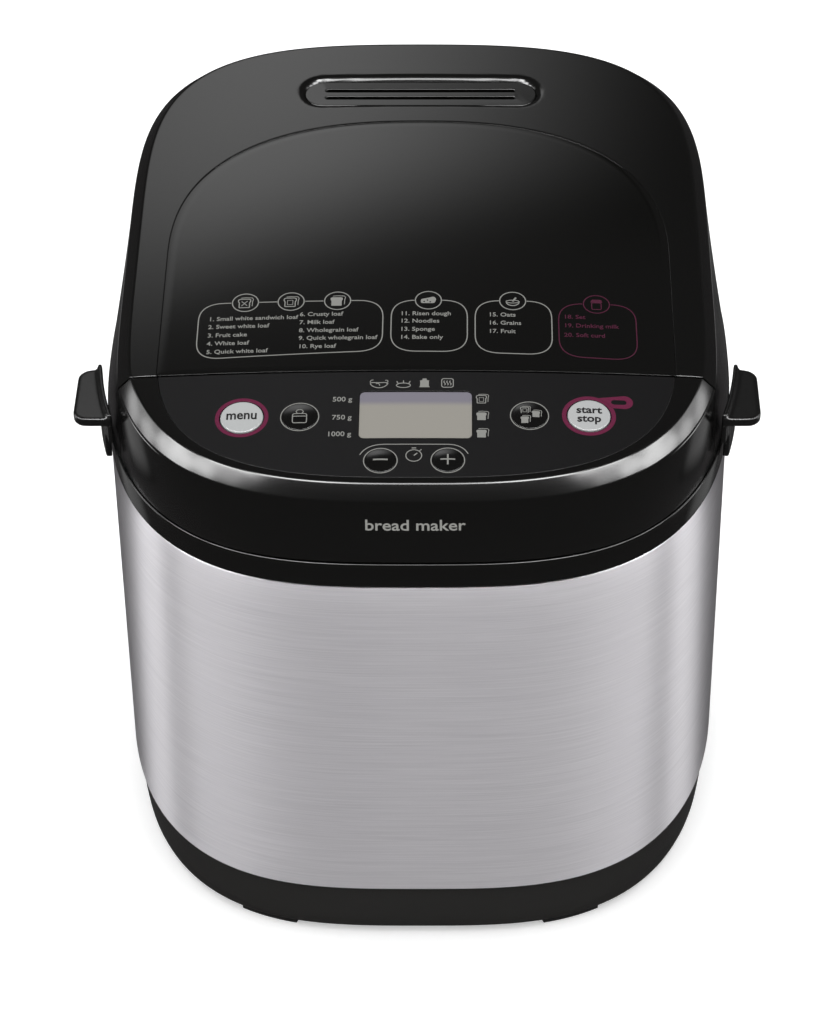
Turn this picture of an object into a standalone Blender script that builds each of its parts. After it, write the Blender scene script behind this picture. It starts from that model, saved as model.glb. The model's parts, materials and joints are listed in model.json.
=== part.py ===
"""A counter-top bread machine, as an assembly of separate parts.

Metres, +Z up. The front faces -Y. The plan shape is a superellipse, the hood's walls lean in as they rise, and the
top falls to the front and to both sides.
Every part hangs on one empty, which puts the middle of the whole machine, hinge included, over the origin.
"""

import bmesh
import bpy
from math import asin, atan, cos, pi, radians, sin, tan
from mathutils import Matrix, Vector

# ---- driving dimensions ----
HALF_WIDTH = 0.1355
HALF_DEPTH = 0.148
PLAN_POWERS = (3.2, 2.46)
HOOD_FLARE = 0.0008
HINGE_Y = 0.1524
SHIFT_Y = -0.0039
GAP = 0.0004

FOOT_HEIGHT = 0.0040
BASE_TOP = 0.0307
STEEL_BOTTOM = 0.0312
STEEL_TOP = 0.2056
COLLAR_BOTTOM = 0.2061
COLLAR_TOP = 0.2180
HOOD_BOTTOM = 0.2187
PLASTIC_WALL = 0.0025

SHOULDER_HALF_WIDTH = 0.1267
SHOULDER_HALF_DEPTH = 0.1467
SHOULDER_POWERS = (3.45, 4.6)
SHOULDER_Y = -0.0008
SEAM_Y = -0.079
SEAM_GAP = 0.0008
SEAM_Z = 0.2651
PANEL_SLOPE = tan(radians(8.2))
LID_SLOPE = tan(radians(6.3))
CROWN = 0.0046
CHAMFER_WIDTH = 0.0053
CHAMFER_HEIGHT = 0.0056
TOP_WALL = 0.0036
RECESS = 0.0015

LCD_SIZE = (0.0462, 0.0262)
LCD_Y = -0.1040
BUTTON_TRAVEL = 0.0010
BUTTONS = {
    "menu_button": (-0.0713, -0.1046, 0.0088),
    "weight_button": (-0.0475, -0.1049, 0.0074),
    "minus_button": (-0.0140, -0.1300, 0.0064),
    "plus_button": (0.0133, -0.1298, 0.0064),
    "crust_button": (0.0467, -0.1042, 0.0074),
    "start_stop_button": (0.0711, -0.1036, 0.0088),
}

VENT_Y = 0.1066
VENT_HALF = (0.0551, 0.0114)

OVEN_Y = 0.030
OVEN_HALF = (0.0920, 0.0720)
OVEN_FLOOR = 0.0530
PAN_HALF = (0.0765, 0.0585)
PAN_FLOOR = 0.0705
PAN_RIM = 0.1970
BAIL_Z = 0.1900
BAIL_REACH = 0.0660

MOTOR_Y = -0.098
SHAFT_RADIUS = 0.0040
DRIVEN_RADIUS = 0.0450
DRIVER_RADIUS = 0.0090
PULLEY_BOTTOM = 0.0300
PULLEY_HEIGHT = 0.0120
PLATE_BOTTOM = 0.0455
PLATE_THICK = 0.0015

# ---- finishes: colour, roughness, metallic ----
FINISHES = {
    "gloss_black": ((0.012, 0.012, 0.013), 0.08, 0.0),
    "satin_black": ((0.020, 0.020, 0.021), 0.35, 0.0),
    "base_grey": ((0.030, 0.029, 0.027), 0.45, 0.0),
    "brushed_steel": ((0.56, 0.56, 0.58), 0.30, 1.0),
    "oven_steel": ((0.50, 0.50, 0.50), 0.35, 1.0),
    "button_white": ((0.72, 0.73, 0.72), 0.35, 0.0),
    "lcd_grey": ((0.42, 0.42, 0.38), 0.20, 0.0),
    "non_stick": ((0.05, 0.05, 0.05), 0.45, 0.3),
    "rubber": ((0.015, 0.015, 0.015), 0.80, 0.0),
    "bronze": ((0.45, 0.28, 0.12), 0.35, 1.0),
    "board_green": ((0.03, 0.14, 0.06), 0.50, 0.0),
    "motor_iron": ((0.25, 0.25, 0.26), 0.45, 1.0),
}


def finish(name):
    """The material of that name, made once."""
    found = bpy.data.materials.get(name)
    if found:
        return found
    colour, roughness, metallic = FINISHES[name]
    material = bpy.data.materials.new(name)
    material.use_nodes = True
    surface = material.node_tree.nodes["Principled BSDF"]
    surface.inputs["Base Color"].default_value = (*colour, 1.0)
    surface.inputs["Roughness"].default_value = roughness
    surface.inputs["Metallic"].default_value = metallic
    return material


# ---- plan shapes and the top surface ----
def outline(half_x, half_y, powers, angle):
    """A point of a superellipse with one power across and one along, at an angle that runs anticlockwise from +X."""
    across, along = cos(angle), sin(angle)
    x = half_x * abs(across) ** (2 / powers[0]) * (1 if across >= 0 else -1)
    y = half_y * abs(along) ** (2 / powers[1]) * (1 if along >= 0 else -1)
    return x, y


def ring(half_x, half_y, z, power=None, centre_y=0.0, points=48):
    """A closed ring of points at one height, in the machine's own shape unless a power is given."""
    turns = [2 * pi * i / points for i in range(points)]
    plan = [outline(half_x, half_y, (power, power) if power else PLAN_POWERS, turn) for turn in turns]
    return [Vector((x, y + centre_y, z)) for x, y in plan]


def body_ring(inset, z, points=48):
    """A ring of the machine's own plan shape, moved inwards by inset."""
    return ring(HALF_WIDTH - inset, HALF_DEPTH - inset, z, points=points)


def side_x(y, offset=0.0):
    """How far out the machine's side is at a given y."""
    half_y = HALF_DEPTH + offset
    return (HALF_WIDTH + offset) * (1 - abs(y / half_y) ** PLAN_POWERS[1]) ** (1 / PLAN_POWERS[0])


def top_z(x, y):
    """Height of the machine's top surface."""
    slope = LID_SLOPE if y > SEAM_Y else PANEL_SLOPE
    return SEAM_Z + (y - SEAM_Y) * slope - CROWN * (x / HALF_WIDTH) ** 2


class Patch:
    """A D-shaped plan area: a straight edge at one end, and a superellipse round the other.

    toward is +1 where the round end is at the rear, and -1 where it is at the front. With straight_sides, the sides
    run straight from the edge to the superellipse's centre.
    """

    columns = 8

    def __init__(self, half_x, reach, powers, centre_y, edge_y, toward, straight_sides=False, rows=9):
        self.half_x, self.reach, self.powers = half_x, reach, powers
        self.centre_y, self.edge_y, self.toward = centre_y, edge_y, toward
        self.straight_sides, self.rows = straight_sides, rows

    def grid(self, height, inset=0.0, edge_inset=0.0):
        """Rows of points from the straight edge to the round end. height is a number or a function of x and y."""
        half_x, reach = self.half_x - inset, self.reach - inset
        edge = self.toward * (self.edge_y - self.centre_y)
        across, lengthwise = self.powers

        def width_at(v):
            if v < 0 and self.straight_sides:
                return half_x
            return half_x * (1 - min(1.0, abs(v) / reach) ** lengthwise) ** (1 / across)

        last = pi / 2 * 0.87
        first = asin(min(1.0, abs(edge) / self.reach) ** (lengthwise / 2)) * (1 if edge >= 0 else -1)
        turns = [first + (last - first) * i / self.rows for i in range(self.rows + 1)]
        along = [reach * abs(sin(t)) ** (2 / lengthwise) * (1 if t >= 0 else -1) for t in turns]
        along[0] = edge + edge_inset
        rows = []
        for v in along:
            half = width_at(v)
            xs = [half * (2 * j / self.columns - 1) for j in range(self.columns + 1)]
            rows.append([(x, v) for x in xs])
        rows[-1] = [(x, reach * (1 - abs(x / half_x) ** across) ** (1 / lengthwise)) for x, _ in rows[-1]]
        placed = []
        for row in rows:
            plan = [(x, self.centre_y + self.toward * v) for x, v in row]
            placed.append([Vector((x, y, height(x, y) if callable(height) else height)) for x, y in plan])
        return placed


def rim_of(grid):
    """The outer points of a grid, once round."""
    right = [row[-1] for row in grid[1:-1]]
    left = [row[0] for row in grid[-2:0:-1]]
    return grid[0] + right + grid[-1][::-1] + left


# ---- solids ----
def new_part(name, bm, finish_name, body_frame=None):
    """Turns a bmesh into a named part with its finish."""
    bmesh.ops.remove_doubles(bm, verts=bm.verts, dist=1e-6)
    bmesh.ops.recalc_face_normals(bm, faces=bm.faces)
    mesh = bpy.data.meshes.new(name)
    bm.to_mesh(mesh)
    bm.free()
    part = bpy.data.objects.new(name, mesh)
    mesh.materials.append(finish(finish_name))
    bpy.context.scene.collection.objects.link(part)
    part.parent = MACHINE
    if body_frame is not None:
        part.matrix_basis = body_frame
    mesh.shade_smooth()
    mesh.set_sharp_from_angle(angle=radians(30))
    return part


def lofted(rings, closed=False, caps=(True, True)):
    """A bmesh of rings joined one to the next. closed joins the last to the first; otherwise the ends are capped."""
    bm = bmesh.new()
    made = [[bm.verts.new(p) for p in points] for points in rings]
    pairs = list(zip(made, made[1:])) + ([(made[-1], made[0])] if closed else [])
    for below, above in pairs:
        count = len(below)
        for i in range(count):
            j = (i + 1) % count
            bm.faces.new((below[i], below[j], above[j], above[i]))
    if not closed:
        if caps[0]:
            bm.faces.new(made[0][::-1])
        if caps[1]:
            bm.faces.new(made[-1])
    return bm


def lofted_patch(grids):
    """A bmesh through the rims of the grids, with the first and last grids as its end faces."""
    bm = lofted([rim_of(grid) for grid in grids], caps=(False, False))
    for grid in (grids[0], grids[-1]):
        verts = [[bm.verts.new(p) for p in row] for row in grid]
        for low, high in zip(verts, verts[1:]):
            for j in range(len(low) - 1):
                bm.faces.new((low[j], low[j + 1], high[j + 1], high[j]))
    return bm


def turned(profile, segments=32, centre=(0.0, 0.0)):
    """A bmesh of a closed profile of (radius, z) points turned round Z."""
    rings = []
    for radius, z in profile:
        turns = [2 * pi * i / segments for i in range(segments)]
        rings.append([Vector((centre[0] + radius * cos(t), centre[1] + radius * sin(t), z)) for t in turns])
    return lofted(rings, closed=True)


def bushing(inner, outer, bottom, top, segments=32, centre=(0.0, 0.0)):
    """A plain tube standing on Z."""
    profile = [(inner, bottom), (outer, bottom), (outer, top), (inner, top)]
    return turned(profile, segments, centre)


def post(radius, bottom, top, segments=24, centre=(0.0, 0.0)):
    """A plain solid cylinder standing on Z."""
    turns = [2 * pi * i / segments for i in range(segments)]
    plan = [(centre[0] + radius * cos(t), centre[1] + radius * sin(t)) for t in turns]
    return lofted([[Vector((x, y, z)) for x, y in plan] for z in (bottom, top)])


def block(low, high):
    """A box between two corners."""
    (x0, y0, z0), (x1, y1, z1) = low, high
    plan = [(x0, y0), (x1, y0), (x1, y1), (x0, y1)]
    return lofted([[Vector((x, y, z)) for x, y in plan] for z in (z0, z1)])


def rounded_plan(half_x, half_y, radius, centre=(0.0, 0.0), steps=4):
    """Plan points of a rectangle with round corners."""
    corners = [(1, 1, 0), (-1, 1, 1), (-1, -1, 2), (1, -1, 3)]
    plan = []
    for sx, sy, quarter in corners:
        for i in range(steps + 1):
            turn = (quarter + i / steps) * pi / 2
            x = centre[0] + sx * (half_x - radius) + radius * cos(turn)
            y = centre[1] + sy * (half_y - radius) + radius * sin(turn)
            plan.append((x, y))
    return plan


def slab(plan, bottom, top):
    """Plan points made into a flat solid."""
    return lofted([[Vector((x, y, z)) for x, y in plan] for z in (bottom, top)])


def moved(bm, matrix):
    """The bmesh, moved by a matrix."""
    bmesh.ops.transform(bm, matrix=matrix, verts=bm.verts)
    return bm


def shape_part(part, shapes, operation):
    """Cuts bmeshes from a part, or joins them to it, one after another."""
    for i, shape in enumerate(shapes):
        helper = new_part(f"{part.name}.{operation.lower()}.{i}", shape, "rubber", part.matrix_basis)
        helper.hide_render = True
        helper.display_type = "WIRE"
        change = part.modifiers.new(f"{operation.lower()}_{i}", "BOOLEAN")
        change.operation = operation
        change.solver = "EXACT"
        change.object = helper


def cut(part, shapes):
    shape_part(part, shapes, "DIFFERENCE")


def join(part, shapes):
    shape_part(part, shapes, "UNION")


# ---- the outer case ----
CORNER_POSTS = [(x, y) for x in (-0.092, 0.092) for y in (-0.088, 0.096)]


def make_base():
    """The moulded tray that the machine stands on, with a post under each corner of the steel plate."""
    floor = FOOT_HEIGHT - 0.0005
    rings = [
        body_ring(0.0050, floor),
        body_ring(0.0035, floor + 0.0013),
        body_ring(0.0026, floor + 0.0080),
        body_ring(0.0014, BASE_TOP),
        body_ring(0.0014 + PLASTIC_WALL, BASE_TOP),
        body_ring(0.0060, floor + 0.0050),
        body_ring(0.0085, floor + PLASTIC_WALL),
    ]
    base = new_part("base_housing", lofted(rings), "base_grey")
    join(base, [post(0.0050, floor + 0.0010, PLATE_BOTTOM - GAP, 12, at) for at in CORNER_POSTS])
    wells = []
    for at in CORNER_POSTS:
        wells.append(post(0.0040, floor - 0.001, floor + 0.0060, 12, at))
        wells.append(post(0.0019, floor + 0.0010, PLATE_BOTTOM + 0.001, 8, at))
    slot_ys = [-0.030 + 0.012 * i for i in range(6)]
    slots = [block((-0.030, y, floor - 0.001), (0.030, y + 0.004, floor + 0.004)) for y in slot_ys]
    cut(base, wells + slots)
    return base


def make_base_screws():
    """Four screws that go up through the base's posts into the steel plate."""
    head_bottom = FOOT_HEIGHT + 0.0018
    for i, at in enumerate(CORNER_POSTS):
        profile = [
            (0.0001, head_bottom),
            (0.0034, head_bottom),
            (0.0034, head_bottom + 0.0024),
            (0.0015, head_bottom + 0.0024),
            (0.0015, PLATE_BOTTOM - 0.0010),
            (0.0001, PLATE_BOTTOM - 0.0010),
        ]
        bm = lofted([ring(r, r, z, power=2, points=12) for r, z in profile])
        new_part(f"base_screw_{i + 1}", moved(bm, Matrix.Translation((*at, 0))), "motor_iron")


def corner_pad(quarter, inset, z):
    """A closed ring of points that follows the machine's plan shape round one corner, 14 mm or so deep."""
    turns = [radians(62.5 + 2.5 * i) for i in range(6)]
    across, along = [(1, 1), (-1, 1), (-1, -1), (1, -1)][quarter]
    outer = [outline(HALF_WIDTH - 0.0055 - inset, HALF_DEPTH - 0.0055 - inset, PLAN_POWERS, t) for t in turns]
    inner = [outline(HALF_WIDTH - 0.0190 + inset, HALF_DEPTH - 0.0190 + inset, PLAN_POWERS, t) for t in turns]
    return [Vector((across * x, along * y, z)) for x, y in outer + inner[::-1]]


def make_feet():
    """Four rubber feet that follow the base's corners."""
    for quarter, name in enumerate(["rear_right", "rear_left", "front_left", "front_right"]):
        rings = [
            corner_pad(quarter, 0.0008, 0.0),
            corner_pad(quarter, 0.0, 0.0008),
            corner_pad(quarter, 0.0, FOOT_HEIGHT - 0.0009),
        ]
        new_part(f"foot_{name}", lofted(rings), "rubber")


def make_steel_wrap():
    """The brushed steel sleeve, with its top edge rolled in."""
    sheet = 0.0008
    rings = [
        body_ring(0.0, STEEL_BOTTOM),
        body_ring(0.0, STEEL_TOP - 0.0012),
        body_ring(0.0008, STEEL_TOP),
        body_ring(0.0030, STEEL_TOP),
        body_ring(0.0030, STEEL_TOP - sheet),
        body_ring(sheet, STEEL_TOP - 0.0020),
        body_ring(sheet, STEEL_BOTTOM),
    ]
    return new_part("steel_wrap", lofted(rings, closed=True), "brushed_steel")


def make_top_deck():
    """The black collar above the steel, with the deck round the oven's mouth."""
    mouth = [(OVEN_HALF[0] + 0.0006, OVEN_HALF[1] + 0.0006, z) for z in (0.2125, 0.2100)]
    top_mouth, low_mouth = [ring(a, b, z, power=8, centre_y=OVEN_Y) for a, b, z in mouth]
    wall = PLASTIC_WALL
    rings = [
        body_ring(0.0004, COLLAR_BOTTOM),
        body_ring(0.0004, COLLAR_TOP),
        body_ring(wall, COLLAR_TOP),
        body_ring(wall, 0.2125),
        top_mouth,
        low_mouth,
        body_ring(0.0060, 0.2100),
        body_ring(0.0060, COLLAR_BOTTOM),
    ]
    return new_part("top_deck", lofted(rings, closed=True), "satin_black")


def make_handle(name, side):
    """A carrying lug: a flat tab on a bracket that hugs the collar."""
    front, rear = -0.0770, -0.0410
    steps = 6
    ys = [front + (rear - front) * i / steps for i in range(steps + 1)]
    inner = [(side_x(y, HOOD_FLARE + 0.0006), y) for y in ys]
    bracket = inner + [(side_x(y, HOOD_FLARE + 0.0034), y) for y in ys[::-1]]
    reach, corner = 0.1453, 0.0060
    turns = [pi / 8 * i for i in range(5)]
    rear_corner = [(reach - corner + corner * sin(t), rear - corner + corner * cos(t)) for t in turns]
    front_corner = [(reach - corner + corner * cos(t), front + corner - corner * sin(t)) for t in turns]
    tab = inner + rear_corner + front_corner
    low = slab([(side * x, y) for x, y in bracket], 0.2085, 0.2360)
    handle = new_part(name, low, "satin_black")
    join(handle, [slab([(side * x, y) for x, y in tab], 0.2337, 0.2382)])
    edge = handle.modifiers.new("soft_edges", "BEVEL")
    edge.width = 0.0008
    edge.segments = 1
    edge.limit_method = "ANGLE"
    edge.angle_limit = radians(50)
    return handle


# ---- the control head ----
FOOT_OF_HOOD = (HALF_WIDTH + HOOD_FLARE, HALF_DEPTH + HOOD_FLARE, PLAN_POWERS, 0.0, SEAM_Y)
SHOULDER = (SHOULDER_HALF_WIDTH, SHOULDER_HALF_DEPTH, SHOULDER_POWERS, SHOULDER_Y, SEAM_Y)
FASCIA = (Patch(*FOOT_OF_HOOD, -1), Patch(*SHOULDER, -1))
OVERLAY = Patch(0.1081, 0.0794, (2.8, 2.8), -0.0600, SEAM_Y, -1)


def tilt_at(x, y):
    """A frame on the top surface: its origin on the surface, Z along the surface's normal."""
    slope_y = PANEL_SLOPE if y <= SEAM_Y else LID_SLOPE
    slope_x = -2 * CROWN * x / HALF_WIDTH**2
    turn = Matrix.Rotation(atan(slope_y), 4, "X") @ Matrix.Rotation(-atan(slope_x), 4, "Y")
    return Matrix.Translation((x, y, top_z(x, y))) @ turn


def shoulder(x, y):
    return top_z(x, y) - CHAMFER_HEIGHT


def under_top(x, y):
    return top_z(x, y) - TOP_WALL


def hood_grids(foot, top, edge_gap):
    """The grids of a hood with a chamfered top and thin walls, from its ceiling inside, down and up to its top."""
    inner = PLASTIC_WALL
    return [
        top.grid(under_top, CHAMFER_WIDTH + 0.0010, edge_gap + inner),
        top.grid(lambda x, y: shoulder(x, y) - 0.0008, inner, edge_gap + inner),
        foot.grid(HOOD_BOTTOM, inner, edge_gap + inner),
        foot.grid(HOOD_BOTTOM, 0.0, edge_gap),
        top.grid(shoulder, 0.0, edge_gap),
        top.grid(top_z, CHAMFER_WIDTH, edge_gap),
    ]


def panel_holes(clearance):
    """Cutters for the buttons and the display, each along its own normal."""
    holes = []
    for x, y, radius in BUTTONS.values():
        holes.append(moved(post(radius + clearance, -0.02, 0.01, 20), tilt_at(x, y)))
    half = [side / 2 + clearance for side in LCD_SIZE]
    window = slab(rounded_plan(half[0], half[1], 0.003), -0.02, 0.01)
    holes.append(moved(window, tilt_at(0.0, LCD_Y)))
    return holes


def make_fascia():
    """The gloss black control housing in front of the lid."""
    fascia = new_part("control_fascia", lofted_patch(hood_grids(*FASCIA, SEAM_GAP / 2)), "gloss_black")
    recess = [OVERLAY.grid(lambda x, y: top_z(x, y) + dz, 0.0, -0.004) for dz in (-RECESS, 0.010)]
    cut(fascia, [lofted_patch(recess)] + panel_holes(0.0004))
    return fascia


def make_overlay():
    """The printed panel let into the housing."""
    grids = [OVERLAY.grid(lambda x, y: top_z(x, y) + dz, 0.0004, SEAM_GAP / 2) for dz in (-0.0011, 0.0)]
    overlay = new_part("panel_overlay", lofted_patch(grids), "gloss_black")
    cut(overlay, panel_holes(0.0004))
    return overlay


def make_display():
    """The display's clear window and the module behind it."""
    frame = tilt_at(0.0, LCD_Y)
    plan = rounded_plan(LCD_SIZE[0] / 2, LCD_SIZE[1] / 2, 0.003)
    new_part("lcd_window", slab(plan, -0.0016, -0.0002), "lcd_grey", frame)
    module = slab(rounded_plan(0.0270, 0.0160, 0.001, steps=1), -0.0082, -0.0042)
    new_part("lcd_module", module, "lcd_grey", frame)


def make_buttons():
    """Six push buttons: a cap in the panel's hole, a flange that keeps it in, and a stem to its switch."""
    for name, (x, y, radius) in BUTTONS.items():
        stem_end = -0.0074 + CROWN * (x / HALF_WIDTH) ** 2
        profile = [
            (0.0018, stem_end),
            (0.0018, -0.0056),
            (radius + 0.0010, -0.0056),
            (radius + 0.0010, -0.0044),
            (radius, -0.0044),
            (radius, 0.0000),
            (radius - 0.0006, 0.0005),
        ]
        rings = [ring(r, r, z, power=2, points=20) for r, z in profile]
        colour = "button_white" if radius > 0.0085 else "gloss_black"
        new_part(name, lofted(rings), colour, tilt_at(x, y))


def make_control_board():
    """The board under the panel, with a switch under each button."""
    frame = tilt_at(0.0, LCD_Y)
    top = -0.0104
    plan = [(-0.084, 0.013), (-0.084, -0.010), (-0.040, -0.030), (0.040, -0.030), (0.084, -0.010), (0.084, 0.013)]
    board = new_part("control_board", slab(plan, top - 0.0016, top), "board_green", frame)
    switches = []
    for x, y, _ in BUTTONS.values():
        local = frame.inverted() @ Vector((x, y, top_z(x, y)))
        switches.append(post(0.0028, top - 0.0005, top + 0.0016, 8, (local.x, local.y)))
    join(board, switches)
    return board


# ---- the lid ----
LID = (Patch(*FOOT_OF_HOOD, 1, rows=12), Patch(*SHOULDER, 1, rows=12))
INLAY = Patch(0.1081, 0.0891, (2.5, 2.5), -0.0050, SEAM_Y, 1, straight_sides=True, rows=10)
CAVITY = Patch(0.0970, 0.0980, (7.0, 7.0), 0.0300, -0.0520, 1, straight_sides=True, rows=12)


def vent_ring(grow, drop, points=32):
    """A ring of the vent's oval on the lid's surface."""
    plan = ring(VENT_HALF[0] + grow, VENT_HALF[1] + grow, 0.0, power=3.4, centre_y=VENT_Y, points=points)
    return [Vector((p.x, p.y, top_z(p.x, p.y) - drop)) for p in plan]


def make_lid_shell():
    """The lid's gloss black hood, with the inlay's recess and the vent's opening."""
    lid = new_part("lid_shell", lofted_patch(hood_grids(*LID, SEAM_GAP / 2)), "gloss_black")
    recess = [INLAY.grid(lambda x, y: top_z(x, y) + dz, 0.0, -0.004) for dz in (-RECESS, 0.010)]
    opening = [vent_ring(-0.0032, 0.0060), vent_ring(-0.0032, 0.0030), vent_ring(0.0008, -0.0008)]
    cut(lid, [lofted_patch(recess), lofted(opening)])
    return lid


def make_inlay():
    """The gloss panel let into the lid."""
    grids = [INLAY.grid(lambda x, y: top_z(x, y) + dz, 0.0004, SEAM_GAP / 2) for dz in (-0.0011, 0.0)]
    return new_part("lid_inlay", lofted_patch(grids), "gloss_black")


def make_vent_cap():
    """The steam vent: a flange under the lid and a raised oval with two long slots."""
    rings = [
        vent_ring(0.0030, 0.0060),
        vent_ring(0.0030, 0.0040),
        vent_ring(-0.0038, 0.0040),
        vent_ring(-0.0038, 0.0022),
    ]
    cap = new_part("vent_cap", lofted(rings), "gloss_black")
    slots = []
    for y in (VENT_Y - 0.0026, VENT_Y + 0.0026):
        z = top_z(0, y)
        slots.append(block((-0.042, y - 0.0007, z - 0.010), (0.042, y + 0.0007, z + 0.002)))
    cut(cap, slots)
    return cap


def make_lid_liner():
    """The metal pan inside the lid, with a row of holes under the vent."""
    sheet = 0.0010
    flange = 0.2205
    flange_outer = PLASTIC_WALL + 0.0016

    def roof(drop):
        return lambda x, y: top_z(x, y) - drop

    grids = [
        CAVITY.grid(roof(0.0105), 0.0060 + sheet, 0.0050 + sheet),
        CAVITY.grid(flange, sheet, sheet),
        LID[0].grid(flange, flange_outer, flange_outer + SEAM_GAP),
        LID[0].grid(flange + sheet, flange_outer, flange_outer + SEAM_GAP),
        CAVITY.grid(flange + sheet),
        CAVITY.grid(roof(0.0095), 0.0060, 0.0050),
    ]
    liner = new_part("lid_liner", lofted_patch(grids), "oven_steel")
    xs = [-0.032 + 0.016 * i for i in range(5)]
    cut(liner, [post(0.0030, 0.26, 0.29, 12, (x, VENT_Y)) for x in xs])
    return liner


HINGE_XS = (-0.034, 0.034)
HINGE_Z = 0.2186
KNUCKLE = 0.0042
PIN_RADIUS = 0.0018


def along_x(bm, x=0.0):
    """A bmesh made along Z, laid along X on the hinge's axis."""
    return moved(bm, Matrix.Translation((x, HINGE_Y, HINGE_Z)) @ Matrix.Rotation(pi / 2, 4, "Y"))


def make_hinges():
    """Two hinges behind the lid: a leaf on the lid, a bracket on the collar, and one rod through both."""
    face = HALF_DEPTH + HOOD_FLARE + GAP
    for side, x in zip(("left", "right"), HINGE_XS):
        leaf = new_part(f"lid_hinge_{side}", along_x(post(KNUCKLE, -0.005, 0.005, 16), x), "satin_black")
        join(leaf, [block((x - 0.005, face, HINGE_Z + 0.0006), (x + 0.005, face + 0.0026, HINGE_Z + 0.024))])
        cut(leaf, [along_x(post(PIN_RADIUS + 0.0004, -0.02, 0.02, 16), x)])
        bracket_low = (x - 0.0115, face, HINGE_Z - 0.0110)
        bracket_high = (x + 0.0115, face + 0.0030, HINGE_Z - KNUCKLE - 0.0006)
        bracket = new_part(f"hinge_bracket_{side}", block(bracket_low, bracket_high), "satin_black")
        ears = []
        for ear in (-0.0085, 0.0085):
            ears.append(along_x(post(KNUCKLE - 0.0004, -0.0030, 0.0030, 16), x + ear))
            low = (x + ear - 0.0030, face, HINGE_Z - 0.0080)
            high = (x + ear + 0.0030, face + 0.0030, HINGE_Z - 0.0010)
            ears.append(block(low, high))
        join(bracket, ears)
        cut(bracket, [along_x(post(PIN_RADIUS + 0.0004, -0.02, 0.02, 16), x)])
    new_part("hinge_rod", along_x(post(PIN_RADIUS, -0.0455, 0.0455, 16)), "motor_iron")


# ---- the oven ----
def oven_ring(grow, z, shrink=0.0):
    return ring(OVEN_HALF[0] + grow - shrink, OVEN_HALF[1] + grow - shrink, z, power=8, centre_y=OVEN_Y)


HEATER_Z = 0.0760
HEATER_HALF = (0.0850, 0.0650)
HEATER_RADIUS = 0.0030
HEATER_ENDS = (-0.012, 0.012)


def make_oven_chamber():
    """The sheet-metal oven, hung from its flange under the deck."""
    sheet = 0.0010
    rings = [
        oven_ring(0.0, OVEN_FLOOR - sheet, 0.006),
        oven_ring(sheet, OVEN_FLOOR + 0.006),
        oven_ring(sheet, 0.2085),
        oven_ring(0.0070, 0.2085),
        oven_ring(0.0070, 0.2095),
        oven_ring(0.0, 0.2095),
        oven_ring(0.0, OVEN_FLOOR + 0.006),
        oven_ring(-sheet, OVEN_FLOOR, 0.006),
    ]
    chamber = new_part("oven_chamber", lofted(rings), "oven_steel")
    holes = [post(0.0125, 0.04, 0.06, 24, (0.0, OVEN_Y))]
    sideways = Matrix.Rotation(pi / 2, 4, "Y")
    for dy in HEATER_ENDS:
        wall_hole = moved(post(0.0044, 0.080, 0.110, 12), sideways)
        holes.append(moved(wall_hole, Matrix.Translation((0, OVEN_Y + dy, HEATER_Z))))
    probe_hole = moved(post(0.0040, -0.110, -0.080, 12), sideways)
    holes.append(moved(probe_hole, Matrix.Translation((0, OVEN_Y, 0.110))))
    cut(chamber, holes)
    return chamber


def make_heating_element():
    """A sheathed heater that rings the pan, with both ends out through the oven's right wall."""
    half_x, half_y = HEATER_HALF
    corner = 0.022
    plan = [(OVEN_HALF[0] + 0.012, HEATER_ENDS[0]), (half_x + 0.0035, HEATER_ENDS[0])]
    plan += [(half_x, HEATER_ENDS[0] - 0.0045)]
    for sx, sy, quarter in ((1, -1, 0), (-1, -1, 3), (-1, 1, 2), (1, 1, 1)):
        for i in range(6):
            turn = (quarter - i / 5) * pi / 2
            plan.append((sx * (half_x - corner) + corner * cos(turn), sy * (half_y - corner) + corner * sin(turn)))
    plan += [(half_x, HEATER_ENDS[1] + 0.0045), (half_x + 0.0035, HEATER_ENDS[1])]
    plan += [(OVEN_HALF[0] + 0.012, HEATER_ENDS[1])]
    curve = bpy.data.curves.new("heating_element", "CURVE")
    curve.dimensions = "3D"
    curve.bevel_depth = HEATER_RADIUS
    curve.bevel_resolution = 1
    curve.use_fill_caps = True
    line = curve.splines.new("POLY")
    line.points.add(len(plan) - 1)
    for point, (x, y) in zip(line.points, plan):
        point.co = (x, y + OVEN_Y, HEATER_Z, 1.0)
    heater = bpy.data.objects.new("heating_element", curve)
    curve.materials.append(finish("motor_iron"))
    bpy.context.scene.collection.objects.link(heater)
    heater.parent = MACHINE


def make_temperature_probe():
    """The probe through the oven's left wall, with its flange outside."""
    profile = [(0.0030, 0.0), (0.0030, 0.0110), (0.0070, 0.0110), (0.0070, 0.0130), (0.0030, 0.0130), (0.0030, 0.0210)]
    rings = [ring(r, r, z, power=2, points=12) for r, z in profile]
    place = Matrix.Translation((-OVEN_HALF[0] + 0.0080, OVEN_Y, 0.110)) @ Matrix.Rotation(-pi / 2, 4, "Y")
    new_part("temperature_probe", moved(lofted(rings), place), "bronze")


def make_pan_socket():
    """The ring on the oven's floor that the pan's foot clips into."""
    new_part("pan_socket", bushing(0.0376, 0.0410, OVEN_FLOOR + GAP, 0.0625, 32, (0.0, OVEN_Y)), "oven_steel")


# ---- the pan, its handle and its paddle ----
def pan_ring(grow, z, taper=0.0):
    return ring(PAN_HALF[0] + grow - taper, PAN_HALF[1] + grow - taper, z, power=6, centre_y=OVEN_Y)


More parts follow.
